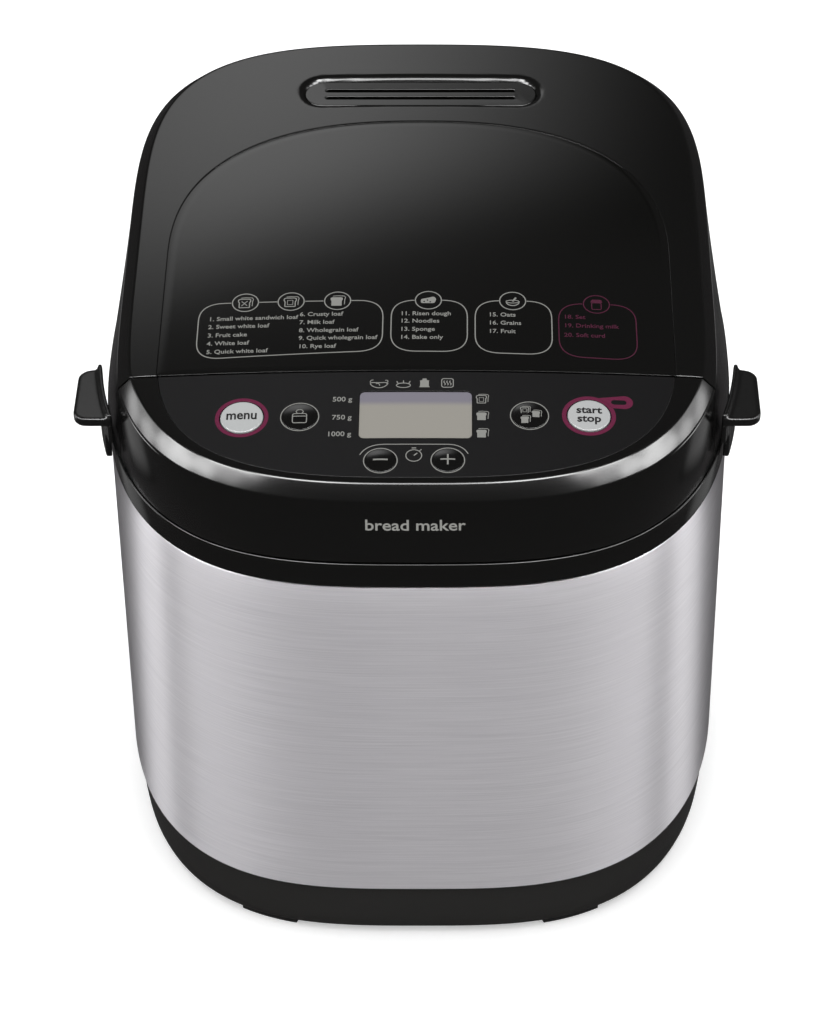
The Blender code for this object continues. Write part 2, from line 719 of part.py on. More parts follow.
def make_bread_pan():
    """The coated pan, with an ear on each short side for the handle."""
    wall = 0.0014
    rings = [
        pan_ring(0.0, PAN_FLOOR, 0.0075),
        pan_ring(0.0, PAN_FLOOR + 0.007, 0.0042),
        pan_ring(0.0, PAN_RIM - 0.0024),
        pan_ring(0.0025, PAN_RIM - 0.0020),
        pan_ring(0.0025, PAN_RIM),
        pan_ring(-wall, PAN_RIM),
        pan_ring(-wall, PAN_FLOOR + 0.008, 0.0042),
        pan_ring(-wall, PAN_FLOOR + wall, 0.0075),
    ]
    pan = new_part("bread_pan", lofted(rings), "non_stick")
    ears, holes = [], [post(0.0094, 0.05, 0.09, 24, (0.0, OVEN_Y))]
    for side in (-1, 1):
        xs = sorted((side * (PAN_HALF[0] - 0.0010), side * (PAN_HALF[0] + 0.0055)))
        ears.append(block((xs[0], OVEN_Y - 0.007, 0.1835), (xs[1], OVEN_Y + 0.007, 0.1962)))
        hole = moved(post(0.0026, 0.0780, 0.0900, 16), Matrix.Rotation(side * pi / 2, 4, "Y"))
        holes.append(moved(hole, Matrix.Translation((0, OVEN_Y, BAIL_Z))))
    join(pan, ears)
    cut(pan, holes)
    return pan


def make_pan_foot():
    """The skirt under the pan and the bearing in its floor."""
    centre = (0.0, OVEN_Y)
    new_part("pan_foot", bushing(0.0335, 0.0368, 0.0560, PAN_FLOOR - GAP, 32, centre), "non_stick")
    profile = [(0.0043, 0.0650), (0.0090, 0.0650), (0.0090, 0.0790), (0.0043, 0.0790)]
    new_part("pan_bearing", turned(profile, 24, centre), "bronze")


def make_pan_handle():
    """The wire bail, folded forwards beside the pan. Its origin is on its pivot line."""
    half_x, reach, corner, wire = PAN_HALF[0] + 0.0095, BAIL_REACH, 0.012, 0.0020
    plan = [(half_x - 0.0075, 0.0), (half_x - 0.0020, 0.0), (half_x, -0.0020)]
    for i in range(5):
        turn = -i * pi / 8
        plan.append((half_x - corner + corner * cos(turn), -reach + corner + corner * sin(turn)))
    plan += [(-x, y) for x, y in plan[::-1]]
    curve = bpy.data.curves.new("pan_handle", "CURVE")
    curve.dimensions = "3D"
    curve.bevel_depth = wire
    curve.bevel_resolution = 1
    curve.use_fill_caps = True
    line = curve.splines.new("POLY")
    line.points.add(len(plan) - 1)
    for point, (x, y) in zip(line.points, plan):
        point.co = (x, y, 0.0, 1.0)
    handle = bpy.data.objects.new("pan_handle", curve)
    curve.materials.append(finish("oven_steel"))
    bpy.context.scene.collection.objects.link(handle)
    handle.parent = MACHINE
    handle.location = (0.0, OVEN_Y, BAIL_Z)


def make_paddle():
    """The pan's shaft, the wings under it, and the kneading paddle on it."""
    centre = (0.0, OVEN_Y)
    new_part("pan_shaft", post(SHAFT_RADIUS, 0.0640, 0.0930, 16, centre), "oven_steel")
    wings = new_part("pan_coupling", bushing(0.0002, 0.0065, 0.0592, 0.0636, 16, centre), "motor_iron")
    join(wings, [block((-0.0150, OVEN_Y - 0.0022, 0.0592), (0.0150, OVEN_Y + 0.0022, 0.0636))])
    bottom, top = 0.0795, 0.0975
    paddle = new_part("kneading_paddle", post(0.0095, bottom, top, 24, centre), "non_stick")
    blade = [(0.0, -0.0022), (0.0360, -0.0012), (0.0440, 0.0010), (0.0450, 0.0030), (0.0300, 0.0030), (0.0, 0.0040)]
    fin = slab([(x, y + OVEN_Y) for x, y in blade], bottom, top + 0.0100)
    join(paddle, [fin])
    cut(paddle, [post(SHAFT_RADIUS + GAP, bottom - 0.01, 0.0945, 16, centre)])
    return paddle


# ---- the drive ----
def pulley_profile(radius, flange, hub, web=None):
    """A pulley's section: hub, web and a rim with two flanges."""
    low, high = PULLEY_BOTTOM, PULLEY_BOTTOM + PULLEY_HEIGHT
    bore, lip = SHAFT_RADIUS + 0.0003, 0.0016
    rim = [(flange, low), (flange, low + lip), (radius, low + lip), (radius, high - lip), (flange, high - lip)]
    if web is None:
        return [(bore, low)] + rim + [(flange, high), (bore, high)]
    middle, inside = (low + high) / 2, radius - 0.004
    under = [(bore, low), (hub, low), (hub, middle - web), (inside, middle - web), (inside, low)]
    over = [(inside, high), (inside, middle + web), (hub, middle + web), (hub, high), (bore, high)]
    return under + rim + [(flange, high)] + over


def make_drive():
    """The drive shaft, its bearing and dog plate, the two pulleys and the belt."""
    centre = (0.0, OVEN_Y)
    new_part("drive_shaft", post(SHAFT_RADIUS, 0.0285, 0.0560, 16, centre), "motor_iron")
    bore = SHAFT_RADIUS + 0.0003
    bearing = [(bore, 0.0430), (0.0090, 0.0430), (0.0090, 0.0475), (0.0150, 0.0475)]
    bearing += [(0.0150, 0.0500), (0.0090, 0.0500), (0.0090, 0.0540), (bore, 0.0540)]
    new_part("shaft_bearing", turned(bearing, 24, centre), "bronze")
    dogs = new_part("drive_coupling", post(0.0160, 0.0564, 0.0586, 24, centre), "motor_iron")
    posts = [block((-0.002, OVEN_Y + y - 0.002, 0.0580), (0.002, OVEN_Y + y + 0.002, 0.0632)) for y in (-0.011, 0.011)]
    join(dogs, posts)
    big = pulley_profile(DRIVEN_RADIUS, DRIVEN_RADIUS + 0.0040, 0.0090, 0.0015)
    new_part("driven_pulley", turned(big, 30, centre), "satin_black")
    small = pulley_profile(DRIVER_RADIUS, DRIVER_RADIUS + 0.0035, 0.0)
    new_part("motor_pulley", turned(small, 20, (0.0, MOTOR_Y)), "motor_iron")
    make_belt()


def belt_loop(grow, z):
    """A loop round both pulleys, grown outwards from their faces."""
    span = OVEN_Y - MOTOR_Y
    lean = asin((DRIVEN_RADIUS - DRIVER_RADIUS) / span)
    points = []
    for y, radius, start, stop, steps in (
        (OVEN_Y, DRIVEN_RADIUS + grow, -lean, pi + lean, 18),
        (MOTOR_Y, DRIVER_RADIUS + grow, pi + lean, 2 * pi - lean, 8),
    ):
        for i in range(steps + 1):
            turn = start + (stop - start) * i / steps
            points.append(Vector((radius * cos(turn), y + radius * sin(turn), z)))
    return points


def make_belt():
    """The flat belt between the pulleys."""
    low, high = PULLEY_BOTTOM + 0.0022, PULLEY_BOTTOM + PULLEY_HEIGHT - 0.0022
    inner, outer = 0.0006, 0.0028
    rings = [belt_loop(inner, low), belt_loop(outer, low), belt_loop(outer, high), belt_loop(inner, high)]
    new_part("drive_belt", lofted(rings, closed=True), "rubber")


def make_motor():
    """The motor: its foot plate, its iron stator, and the rotor, fan and shaft that turn."""
    centre = (0.0, MOTOR_Y)
    half = 0.0370
    plan = rounded_plan(half, half, 0.006, centre, steps=3)
    bracket = new_part("motor_bracket", slab(plan, 0.0476, 0.0540), "motor_iron")
    cut(bracket, [post(0.0100, 0.04, 0.06, 16, centre)])
    stator = new_part("motor_stator", slab(plan, 0.0545, 0.0950), "motor_iron")
    cut(stator, [post(0.0206, 0.05, 0.10, 24, centre)])
    new_part("motor_rotor", bushing(SHAFT_RADIUS + 0.0003, 0.0198, 0.0565, 0.0930, 24, centre), "motor_iron")
    new_part("motor_shaft", post(SHAFT_RADIUS, 0.0285, 0.1120, 16, centre), "motor_iron")
    fan = new_part("motor_fan", bushing(SHAFT_RADIUS + 0.0003, 0.0300, 0.0990, 0.1005, 24, centre), "satin_black")
    blades = []
    for i in range(8):
        blade = block((0.0090, -0.0007, 0.1000), (0.0290, 0.0007, 0.1100))
        blades.append(moved(blade, Matrix.Translation((*centre, 0)) @ Matrix.Rotation(i * pi / 4, 4, "Z")))
    join(fan, blades)


def make_chassis():
    """The steel plate that carries the oven and the motor."""
    plan = rounded_plan(0.100, 0.118, 0.010, (0.0, -0.008), steps=3)
    plate = new_part("chassis_plate", slab(plan, PLATE_BOTTOM, PLATE_BOTTOM + PLATE_THICK), "oven_steel")
    cut(plate, [post(0.0095, 0.04, 0.05, 24, (0.0, OVEN_Y)), post(0.0095, 0.04, 0.05, 24, (0.0, MOTOR_Y))])


def make_electrics():
    """The capacitor and the power board on the plate beside the motor, and the cable's inlet at the rear."""
    capacitor = [ring(0.0150, 0.0150, z, power=2, centre_y=MOTOR_Y + 0.006, points=24) for z in (0.0476, 0.0900)]
    new_part("run_capacitor", moved(lofted(capacitor), Matrix.Translation((0.064, 0, 0))), "oven_steel")
    board = new_part("power_board", block((-0.086, -0.120, 0.0530), (-0.042, -0.056, 0.0546)), "board_green")
    transformer = block((-0.082, -0.112, 0.0540), (-0.056, -0.088, 0.0740))
    relay = block((-0.080, -0.080, 0.0540), (-0.064, -0.064, 0.0680))
    legs = [post(0.0025, 0.0476, 0.0540, 8, at) for at in ((-0.082, -0.116), (-0.046, -0.060), (-0.082, -0.060))]
    join(board, [transformer, relay] + legs)
    inlet = [(0.0035, -0.0040), (0.0090, -0.0040), (0.0090, 0.0), (0.0060, 0.0), (0.0060, 0.0050), (0.0035, 0.0050)]
    gland = moved(turned(inlet, 24), Matrix.Rotation(pi / 2, 4, "X"))
    return new_part("cable_inlet", moved(gland, Matrix.Translation((0.060, 0.0, 0.018))), "satin_black")


def fit_cable_inlet(base, inlet):
    """Puts the cable's inlet in a hole in the base's rear wall."""
    wall_y = HALF_DEPTH * (1 - (0.060 / HALF_WIDTH) ** PLAN_POWERS[0]) ** (1 / PLAN_POWERS[1]) + 0.0004
    inlet.location = (0.0, wall_y, 0.0)
    hole = moved(post(0.0064, -0.016, 0.010, 16), Matrix.Rotation(pi / 2, 4, "X"))
    cut(base, [moved(hole, Matrix.Translation((0.060, wall_y, 0.018)))])


def clear_scene():
    for old in list(bpy.data.objects):
        bpy.data.objects.remove(old)


clear_scene()
MACHINE = bpy.data.objects.new("bread_machine", None)
bpy.context.scene.collection.objects.link(MACHINE)
MACHINE.location = (0.0, SHIFT_Y, 0.0)

base_housing = make_base()
make_base_screws()
make_feet()
make_steel_wrap()
make_top_deck()
make_handle("handle_left", -1)
make_handle("handle_right", 1)
make_fascia()
make_overlay()
make_display()
make_buttons()
make_control_board()
make_lid_shell()
make_inlay()
make_vent_cap()
make_lid_liner()
make_hinges()
make_oven_chamber()
make_heating_element()
make_temperature_probe()
make_pan_socket()
make_bread_pan()
make_pan_foot()
make_pan_handle()
make_paddle()
make_drive()
make_motor()
make_chassis()
fit_cable_inlet(base_housing, make_electrics())
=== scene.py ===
# %% [markdown]
# # A counter-top bread machine
#
# The machine is a steel sleeve between a dark moulded base and a gloss black head. This script dresses the
# CAD frame: pieces whose outline is seen get a finer shape here, hidden ones keep their CAD shape, and
# every one gets a finish. All positions are in metres, in the frame of the CAD: +X to the right, +Y to the
# rear, +Z up.

import bmesh
import bpy
import json
import numpy as np
from math import atan, cos, pi, radians, sin, sqrt, tan
from mathutils import Matrix, Vector


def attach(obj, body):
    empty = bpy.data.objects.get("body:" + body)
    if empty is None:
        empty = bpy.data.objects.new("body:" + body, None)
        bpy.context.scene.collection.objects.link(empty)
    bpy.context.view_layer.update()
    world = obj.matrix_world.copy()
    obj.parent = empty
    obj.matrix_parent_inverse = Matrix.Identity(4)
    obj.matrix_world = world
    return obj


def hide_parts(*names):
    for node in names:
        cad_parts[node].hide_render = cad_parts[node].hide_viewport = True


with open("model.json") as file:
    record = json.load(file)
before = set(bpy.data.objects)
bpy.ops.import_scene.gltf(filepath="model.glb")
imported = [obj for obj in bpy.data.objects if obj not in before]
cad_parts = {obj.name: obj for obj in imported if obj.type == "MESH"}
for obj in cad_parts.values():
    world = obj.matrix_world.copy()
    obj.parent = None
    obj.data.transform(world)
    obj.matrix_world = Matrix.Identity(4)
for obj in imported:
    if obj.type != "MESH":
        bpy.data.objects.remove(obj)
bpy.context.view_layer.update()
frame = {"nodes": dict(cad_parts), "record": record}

# %% [markdown]
# ## The machine's own measures
#
# Seen from above the body is a superellipse: nearly straight sides that melt into round corners. The sleeve
# goes straight up. The head's walls lean in as they rise, and its shoulder is squarer. The top is one
# surface that falls to the front in two slopes, steeper on the control panel, and it is crowned across by a
# few millimetres, so water runs off. Every piece on top takes its height from top_z.

# %% Measures and the top surface
MID_Y = -0.0039
HALF_WIDTH, HALF_DEPTH, PLAN_POWERS = 0.1355, 0.1480, (3.2, 2.46)
STEEL_BOTTOM, STEEL_TOP = 0.0312, 0.2056
COLLAR_BOTTOM, COLLAR_TOP, HOOD_BOTTOM, HOOD_FLARE = 0.2061, 0.2180, 0.2187, 0.0008
SHOULDER_HALF_WIDTH, SHOULDER_HALF_DEPTH, SHOULDER_POWERS, SHOULDER_Y = 0.1267, 0.1467, (3.45, 4.6), -0.0008
SEAM_Y, SEAM_GAP, SEAM_Z = -0.0790, 0.0008, 0.2651
PANEL_SLOPE, LID_SLOPE, CROWN = tan(radians(8.2)), tan(radians(6.3)), 0.0046
CHAMFER_WIDTH, CHAMFER_HEIGHT = 0.0053, 0.0056


def top_z(x, y):
    """Height of the top surface, with y measured from the middle of the body."""
    slope = np.where(np.asarray(y) > SEAM_Y, LID_SLOPE, PANEL_SLOPE)
    return SEAM_Z + (np.asarray(y) - SEAM_Y) * slope - CROWN * (np.asarray(x) / HALF_WIDTH) ** 2


print("top from", round(float(top_z(0, -HALF_DEPTH)), 4), "to", round(float(top_z(0, HALF_DEPTH)), 4))

# %% [markdown]
# ## Stage, camera and light
#
# A product like this is shot from above on white, with a long lens so its sides stay nearly parallel. The
# table is a white sheet lit from below as well, so it stays white up to the machine. Gloss plastic and
# brushed steel show only what they reflect, so the studio is built for their reflections: an arch of
# softboxes from low on one side, over the front, to low on the other, narrow strips that light the chamfer,
# and one behind that fades across the lid. They are cards that only reflections see. A plain white sky
# gives the even light; reflections don't see it.

# %% Camera
def add_object(name, data):
    """Puts a mesh, a curve or a camera into the scene."""
    made = bpy.data.objects.new(name, data)
    bpy.context.scene.collection.objects.link(made)
    return made


camera = add_object("camera", bpy.data.cameras.new("camera"))
camera.location = (0.0213, -1.2249 + MID_Y, 1.1148)
camera.rotation_euler = (radians(90 - 38.91), 0.0, 0.0)
camera.data.lens = 120.79
camera.data.shift_x = -0.0528
camera.data.dof.use_dof = False
bpy.context.scene.camera = camera
bpy.context.scene.view_settings.view_transform = "Standard"
print("camera", round(camera.data.lens, 1), "mm lens")

# %% Colour and node helpers


def linear(hex_colour):
    """An sRGB hex colour as linear RGBA."""
    parts = [int(hex_colour[i : i + 2], 16) / 255 for i in (1, 3, 5)]
    return tuple(p / 12.92 if p <= 0.04045 else ((p + 0.055) / 1.055) ** 2.4 for p in parts) + (1.0,)


def add_node(tree, kind, inputs=None, **settings):
    """Adds one shader node of a kind, such as Bump. Its inputs are values, or sockets to link from."""
    made = tree.nodes.new("ShaderNode" + kind)
    for name, value in settings.items():
        setattr(made, name, value)
    for name, value in (inputs or {}).items():
        if isinstance(value, bpy.types.NodeSocket):
            tree.links.new(value, made.inputs[name])
        else:
            made.inputs[name].default_value = value
    return made


def new_material(name, **inputs):
    """A Principled material. Input names have _ for spaces."""
    material = bpy.data.materials.new(name)
    material.use_nodes = True
    shader = material.node_tree.nodes["Principled BSDF"]
    for key, value in inputs.items():
        shader.inputs[key.replace("_", " ")].default_value = value
    return material, material.node_tree, shader


print("grey card", [round(v, 3) for v in linear("#777777")])

# %% Floor and sky
floor_mesh = bpy.data.meshes.new("floor")
floor_mesh.from_pydata([(-4, -4, 0), (4, -4, 0), (4, 4, 0), (-4, 4, 0)], [], [(0, 1, 2, 3)])
floor = add_object("floor", floor_mesh)
paper = new_material("lit_white_sheet", Base_Color=linear("#f4f4f4"), Roughness=0.9, Emission_Strength=0.28)[0]
floor_mesh.materials.append(paper)
floor.visible_glossy = False

world = bpy.data.worlds.new("studio")
world.use_nodes = True
bpy.context.scene.world = world
sky = world.node_tree
sky.nodes.clear()
ray = add_node(sky, "LightPath")
bright = add_node(sky, "Background", {"Color": linear("#ffffff"), "Strength": 1.25})
dark = add_node(sky, "Background", {"Color": linear("#c8c4c6"), "Strength": 0.10})
either = {0: ray.outputs["Is Glossy Ray"], 1: bright.outputs[0], 2: dark.outputs[0]}
split = add_node(sky, "MixShader", either)
add_node(sky, "OutputWorld", {"Surface": split.outputs[0]})
print("floor and sky")

# %% Reflection cards


def light_card(name, azimuth, elevation, strength, size=(0.8, 0.62), soft=(0.5, 0.5), distance=1.7):
    """A glowing card that only reflections see. Azimuth 0 is in front, positive to the right.

    soft is the share of its half width, and of its half height, over which its light fades out.
    """
    across, up = size[0] / 2, size[1] / 2
    mesh = bpy.data.meshes.new(name)
    corners = [(-across, -up, 0), (across, -up, 0), (across, up, 0), (-across, up, 0)]
    mesh.from_pydata(corners, [], [(0, 1, 2, 3)])
    card = add_object(name, mesh)
    a, e = radians(azimuth), radians(elevation)
    way = Vector((sin(a) * cos(e), -cos(a) * cos(e), sin(e)))
    centre = Vector((0, 0, 0.15))
    card.location = centre + way * distance
    card.rotation_euler = (-way).to_track_quat("-Z", "Y").to_euler()
    material = bpy.data.materials.new(name)
    material.use_nodes = True
    tree = material.node_tree
    tree.nodes.clear()
    place = add_node(tree, "TexCoord").outputs["Object"]
    xyz = add_node(tree, "SeparateXYZ", {0: place})
    level = strength
    for axis, half, fading in (("X", across, soft[0]), ("Y", up, soft[1])):
        away = add_node(tree, "Math", {0: xyz.outputs[axis]}, operation="ABSOLUTE").outputs[0]
        limits = {"Value": away, "From Min": half, "From Max": half * (1 - fading), "To Max": 1.0}
        fade = add_node(tree, "MapRange", limits, interpolation_type="SMOOTHSTEP")
        level = add_node(tree, "Math", {0: level, 1: fade.outputs[0]}, operation="MULTIPLY").outputs[0]
    glow = add_node(tree, "Emission", {"Color": linear("#ffffff"), "Strength": level})
    add_node(tree, "OutputMaterial", {"Surface": glow.outputs[0]})
    mesh.materials.append(material)
    card.visible_camera = card.visible_diffuse = False
    card.visible_shadow = card.visible_transmission = False


def card_pair(name, azimuth, elevation, left, right, **look):
    """A card on each side, with the strength of the left one and of the right one."""
    light_card(name + "_left", -azimuth, elevation, left, **look)
    light_card(name + "_right", azimuth, elevation, right, **look)


ARCH = ((28, 62, 21, 22), (52, 46, 18, 16), (76, 33, 15, 14.5), (100, 28, 3, 3), (100, -15, 4, 4))
EDGE_STRIPS = ((49, 38.5, 6), (60, 36, 14), (71, 33, 15), (82, 29, 12), (94, 23.5, 8), (106, 17.5, 6))
light_card("overhead_softbox", 0, 62, 11.5)
for azimuth, elevation, left, right in ARCH:
    card_pair(f"softbox_{azimuth}_{elevation}", azimuth, elevation, left, right)
for azimuth, elevation, strength in EDGE_STRIPS:
    name = f"edge_strip_{azimuth}"
    card_pair(name, azimuth, elevation, strength, strength, size=(0.50, 0.24), soft=(0.6, 0.4))
for azimuth, elevation in ((124, -30), (150, -22)):
    card_pair(f"table_{azimuth}", azimuth, elevation, 0.35, 0.35)
light_card("lid_softbox", -169.6, 43.3, 1.65, size=(1.24, 0.46), soft=(0.97, 0.54), distance=1.815)

# %% [markdown]
# ## How the pieces are made
#
# Almost every piece is a skin over rings of points. A ring is a plan shape at some height, and the next
# ring is a little further in or up, so a rounded edge is four or five rings close together. That gives
# exact control over the edges, and a gloss black piece is nothing but its edges. Flat pieces with holes,
# such as the printed panel, are drawn as filled 2-D curves and then laid on the top surface.

# %% Mesh helpers


def resample(points, count, closed=False):
    """Points spaced evenly along a line."""
    points = np.asarray(points, float)
    if closed:
        points = np.vstack([points, points[:1]])
    steps = np.hypot(*np.diff(points[:, :2], axis=0).T)
    along = np.concatenate([[0], np.cumsum(steps)])
    wanted = np.linspace(0, along[-1], count + 1)[: count if closed else count + 1]
    return np.stack([np.interp(wanted, along, points[:, k]) for k in range(points.shape[1])], axis=1)


def superellipse(turn, half_x, half_y, powers):
    """The x and the y of a superellipse at some turns. powers are across and along."""
    c, s = np.cos(turn), np.sin(turn)
    x = half_x * np.sign(c) * np.abs(c) ** (2 / powers[0])
    return x, half_y * np.sign(s) * np.abs(s) ** (2 / powers[1])


def oval(half_x, half_y, powers=PLAN_POWERS, count=240, middle=(0.0, 0.0)):
    """A closed superellipse of evenly spaced plan points, anticlockwise from +X."""
    x, y = superellipse(np.linspace(0, 2 * pi, 2401)[:-1], half_x, half_y, powers)
    return resample(np.stack([x, y], axis=1), count, closed=True) + middle


def at_height(plan, z):
    """Plan points given a height, which is a number or a function of x and y."""
    z = z(plan[:, 0], plan[:, 1]) if callable(z) else np.full(len(plan), float(z))
    return np.column_stack([plan, z])


def body_ring(inset, z, count=240):
    return at_height(oval(HALF_WIDTH - inset, HALF_DEPTH - inset, count=count), z)


def skin(name, rows, wrap_columns=True, wrap_rows=False, cap_start=False, cap_end=False):
    """A mesh object over rows of points, all of one length."""
    rows = [np.asarray(row) for row in rows]
    count = len(rows[0])
    points = np.vstack(rows)
    faces = []
    row_pairs = [(i, i + 1) for i in range(len(rows) - 1)] + ([(len(rows) - 1, 0)] if wrap_rows else [])
    columns = [(j, j + 1) for j in range(count - 1)] + ([(count - 1, 0)] if wrap_columns else [])
    for low, high in row_pairs:
        for left, right in columns:
            faces.append((low * count + left, low * count + right, high * count + right, high * count + left))
    if cap_start:
        faces.append(tuple(range(count))[::-1])
    if cap_end:
        faces.append(tuple(range((len(rows) - 1) * count, len(rows) * count)))
    mesh = bpy.data.meshes.new(name)
    mesh.from_pydata(points.tolist(), [], faces)
    return finish_mesh(name, mesh)


def finish_mesh(name, mesh, sharp=42):
    """Welds a mesh, turns its faces outwards, smooths it and makes it an object at the body's middle."""
    bm = bmesh.new()
    bm.from_mesh(mesh)
    bmesh.ops.remove_doubles(bm, verts=bm.verts, dist=2e-6)
    bmesh.ops.recalc_face_normals(bm, faces=bm.faces)
    bm.to_mesh(mesh)
    bm.free()
    mesh.shade_smooth()
    mesh.set_sharp_from_angle(angle=radians(sharp))
    made = add_object(name, mesh)
    made.location = (0.0, MID_Y, 0.0)
    return made


def dress(piece, material, body, slot, *nodes):
    """Gives a piece its finish and the body it rides on, and hides the CAD nodes it stands for. Its slot is not
    used.
    """
    piece.data.materials.clear()
    piece.data.materials.append(material)
    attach(piece, body)
    if nodes:
        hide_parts(*nodes)
    return piece


def rounded(inset, z, radius, quarter, steps=4):
    """(inset, z) pairs round a corner. quarter 0 turns from a wall going up to a top going in."""
    pairs = []
    for i in range(steps + 1):
        turn = (quarter + i / steps) * pi / 2
        pairs.append((inset + radius * (1 - cos(turn)), z + radius * sin(turn)))
    return pairs


print("sleeve round", round(float(np.hypot(*np.diff(oval(HALF_WIDTH, HALF_DEPTH), axis=0).T).sum()), 3), "m")

# %% [markdown]
# ## Brushed stainless steel
#
# The sleeve is ferritic stainless sheet, about 0.5 mm thick, brushed along its length before it was rolled.
# The brushing leaves fine scratches that run round the body. They blur reflections up and down much more
# than sideways, so each softbox becomes a soft upright band. The scratches are some 0.05 mm apart, too fine
# to show here, so they are drawn about 0.6 mm apart.

# %% Brushed stainless steel
BRUSH_SPACING_MM, BRUSH_LENGTH_MM = 0.6, 45.0
steel, tree, shader = new_material("brushed_stainless_steel", Metallic=1.0, Roughness=0.46, Anisotropic=0.90)
place = add_node(tree, "TexCoord").outputs["Object"]
stretch = (1000 / BRUSH_LENGTH_MM, 1000 / BRUSH_LENGTH_MM, 1000 / BRUSH_SPACING_MM)
lines = add_node(tree, "Mapping", {"Vector": place, "Scale": stretch})
scratches = {"Vector": lines.outputs[0], "Scale": 1.0, "Detail": 3.0, "Roughness": 0.6}
streaks = add_node(tree, "TexNoise", scratches).outputs["Fac"]
tones = {"Factor": streaks, "A": linear("#bbb9bd"), "B": linear("#dbd9dc")}
tone = add_node(tree, "Mix", tones, data_type="RGBA")
tree.links.new(tone.outputs["Result"], shader.inputs["Base Color"])
relief = add_node(tree, "Bump", {"Height": streaks, "Strength": 0.06, "Distance": 0.0002})
tree.links.new(relief.outputs[0], shader.inputs["Normal"])
upright = add_node(tree, "Tangent", {}, direction_type="RADIAL", axis="Z")
tree.links.new(upright.outputs[0], shader.inputs["Tangent"])
shader.inputs["Anisotropic Rotation"].default_value = 0.25
print(steel.name)

# %% Steel sleeve
BREAK, FOLD = 0.0003, 0.0007  # the broken lower edge, and the radius of the fold at the top
profile = [(0.0008, STEEL_BOTTOM), (BREAK, STEEL_BOTTOM), (0.0, STEEL_BOTTOM + BREAK)]
profile += [(0.0, z) for z in np.linspace(STEEL_BOTTOM + BREAK, STEEL_TOP - FOLD, 12)[1:]]
profile += rounded(0.0, STEEL_TOP - FOLD, FOLD, 0)[1:]
profile += [(0.0032, STEEL_TOP), (0.0034, STEEL_TOP - 0.0008), (0.0006, STEEL_TOP - 0.0012)]
rows = [body_ring(inset, z) for inset, z in profile]
sleeve = skin("steel_sleeve", rows, wrap_rows=True)
dress(sleeve, steel, "case", "brushed_steel", "steel_wrap")
print(sleeve.name, len(sleeve.data.polygons))

# %% [markdown]
# ## Gloss black ABS
#
# Collar, head, lid and vent are injection moulded in black ABS from polished tools. ABS has an index of
# refraction near 1.54. The tool's polish isn't perfect and the skin has a slight orange peel, so
# reflections are a little soft.

# %% Gloss black ABS
PEEL_MM, PEEL = 3.0, 0.003  # the waves of the orange peel: their spacing, and how much they tilt reflections


def moulded(name, colour, roughness, grain_mm=None, grain=0.0, ior=1.54):
    """Moulded plastic: a colour, a gloss, orange peel, and a fine grain if the tool was etched."""
    material, tree, shader = new_material(name, Base_Color=linear(colour), Roughness=roughness, IOR=ior)
    place = add_node(tree, "TexCoord").outputs["Object"]
    waves = add_node(tree, "TexNoise", {"Vector": place, "Scale": 1000 / PEEL_MM, "Detail": 1.0})
    height = waves.outputs["Fac"]
    bump = add_node(tree, "Bump", {"Height": height, "Strength": PEEL, "Distance": 0.001})
    if grain_mm:
        etch = add_node(tree, "TexNoise", {"Vector": place, "Scale": 1000 / grain_mm, "Detail": 2.0})
        more = {"Height": etch.outputs["Fac"], "Strength": grain, "Distance": 0.0003, "Normal": bump.outputs[0]}
        bump = add_node(tree, "Bump", more)
    tree.links.new(bump.outputs[0], shader.inputs["Normal"])
    return material


gloss_black = moulded("gloss_black_abs", "#0b0b0a", 0.16)
inlay_black = moulded("polished_black_abs", "#0b0b0a", 0.10)
print(gloss_black.name, inlay_black.name)

# %% D-shaped rings


def d_arc(half_x, reach, powers, middle_y, edge_y, toward, inset, edge_inset, count):
    """The curved part of a D, from its straight edge on the right round to the edge on the left."""
    a, b = half_x - inset, reach - inset
    edge = toward * (edge_y - middle_y) + edge_inset
    first = np.arcsin(min(1.0, abs(edge) / b) ** (powers[1] / 2)) * (1 if edge >= 0 else -1)
    x, y = superellipse(np.linspace(first, pi - first, 2001), a, b, powers)
    y[0] = y[-1] = edge
    arc = resample(np.stack([x, y], axis=1), count)
    return np.stack([arc[:, 0], middle_y + toward * arc[:, 1]], axis=1)


FOOT_OF_HOOD = (HALF_WIDTH + HOOD_FLARE, HALF_DEPTH + HOOD_FLARE, PLAN_POWERS, 0.0)
LID_SHOULDER = (SHOULDER_HALF_WIDTH, SHOULDER_HALF_DEPTH, SHOULDER_POWERS, SHOULDER_Y)
HEAD_SHOULDER = (0.1301, SHOULDER_HALF_DEPTH, (2.8, 3.4), SHOULDER_Y)
LET_IN_HALF, LET_IN_POWERS, PANEL_POWERS = 0.1081, (2.5, 2.5), (2.8, 2.8)
LID_PANEL_Y = -0.0050


def hood_arc(shape, toward, inset=0.0, edge_inset=0.0, count=400):
    """The curved outline of the head or the lid, at its foot or at its shoulder."""
    return d_arc(*shape, SEAM_Y, toward, inset, edge_inset, count)


def let_in_arc(toward, inset=0.0, edge_inset=0.0, count=400):
    """The outline of the panel that is let into the lid (toward +1) or into the control head (-1)."""
    if toward < 0:
        return d_arc(LET_IN_HALF, 0.0794, PANEL_POWERS, -0.0600, SEAM_Y, -1, inset, edge_inset, count)
    a, b = LET_IN_HALF - inset, 0.0891 - inset
    x, y = superellipse(np.linspace(0, pi, 1201), a, b, LET_IN_POWERS)
    line = np.stack([x, y + LID_PANEL_Y], axis=1)
    start = SEAM_Y + edge_inset
    line = np.vstack([[(a, start)], line, [(-a, start)]])
    return resample(line, count)


print("lid arc", round(float(np.hypot(*np.diff(hood_arc(LID_SHOULDER, 1), axis=0).T).sum()), 3), "m")

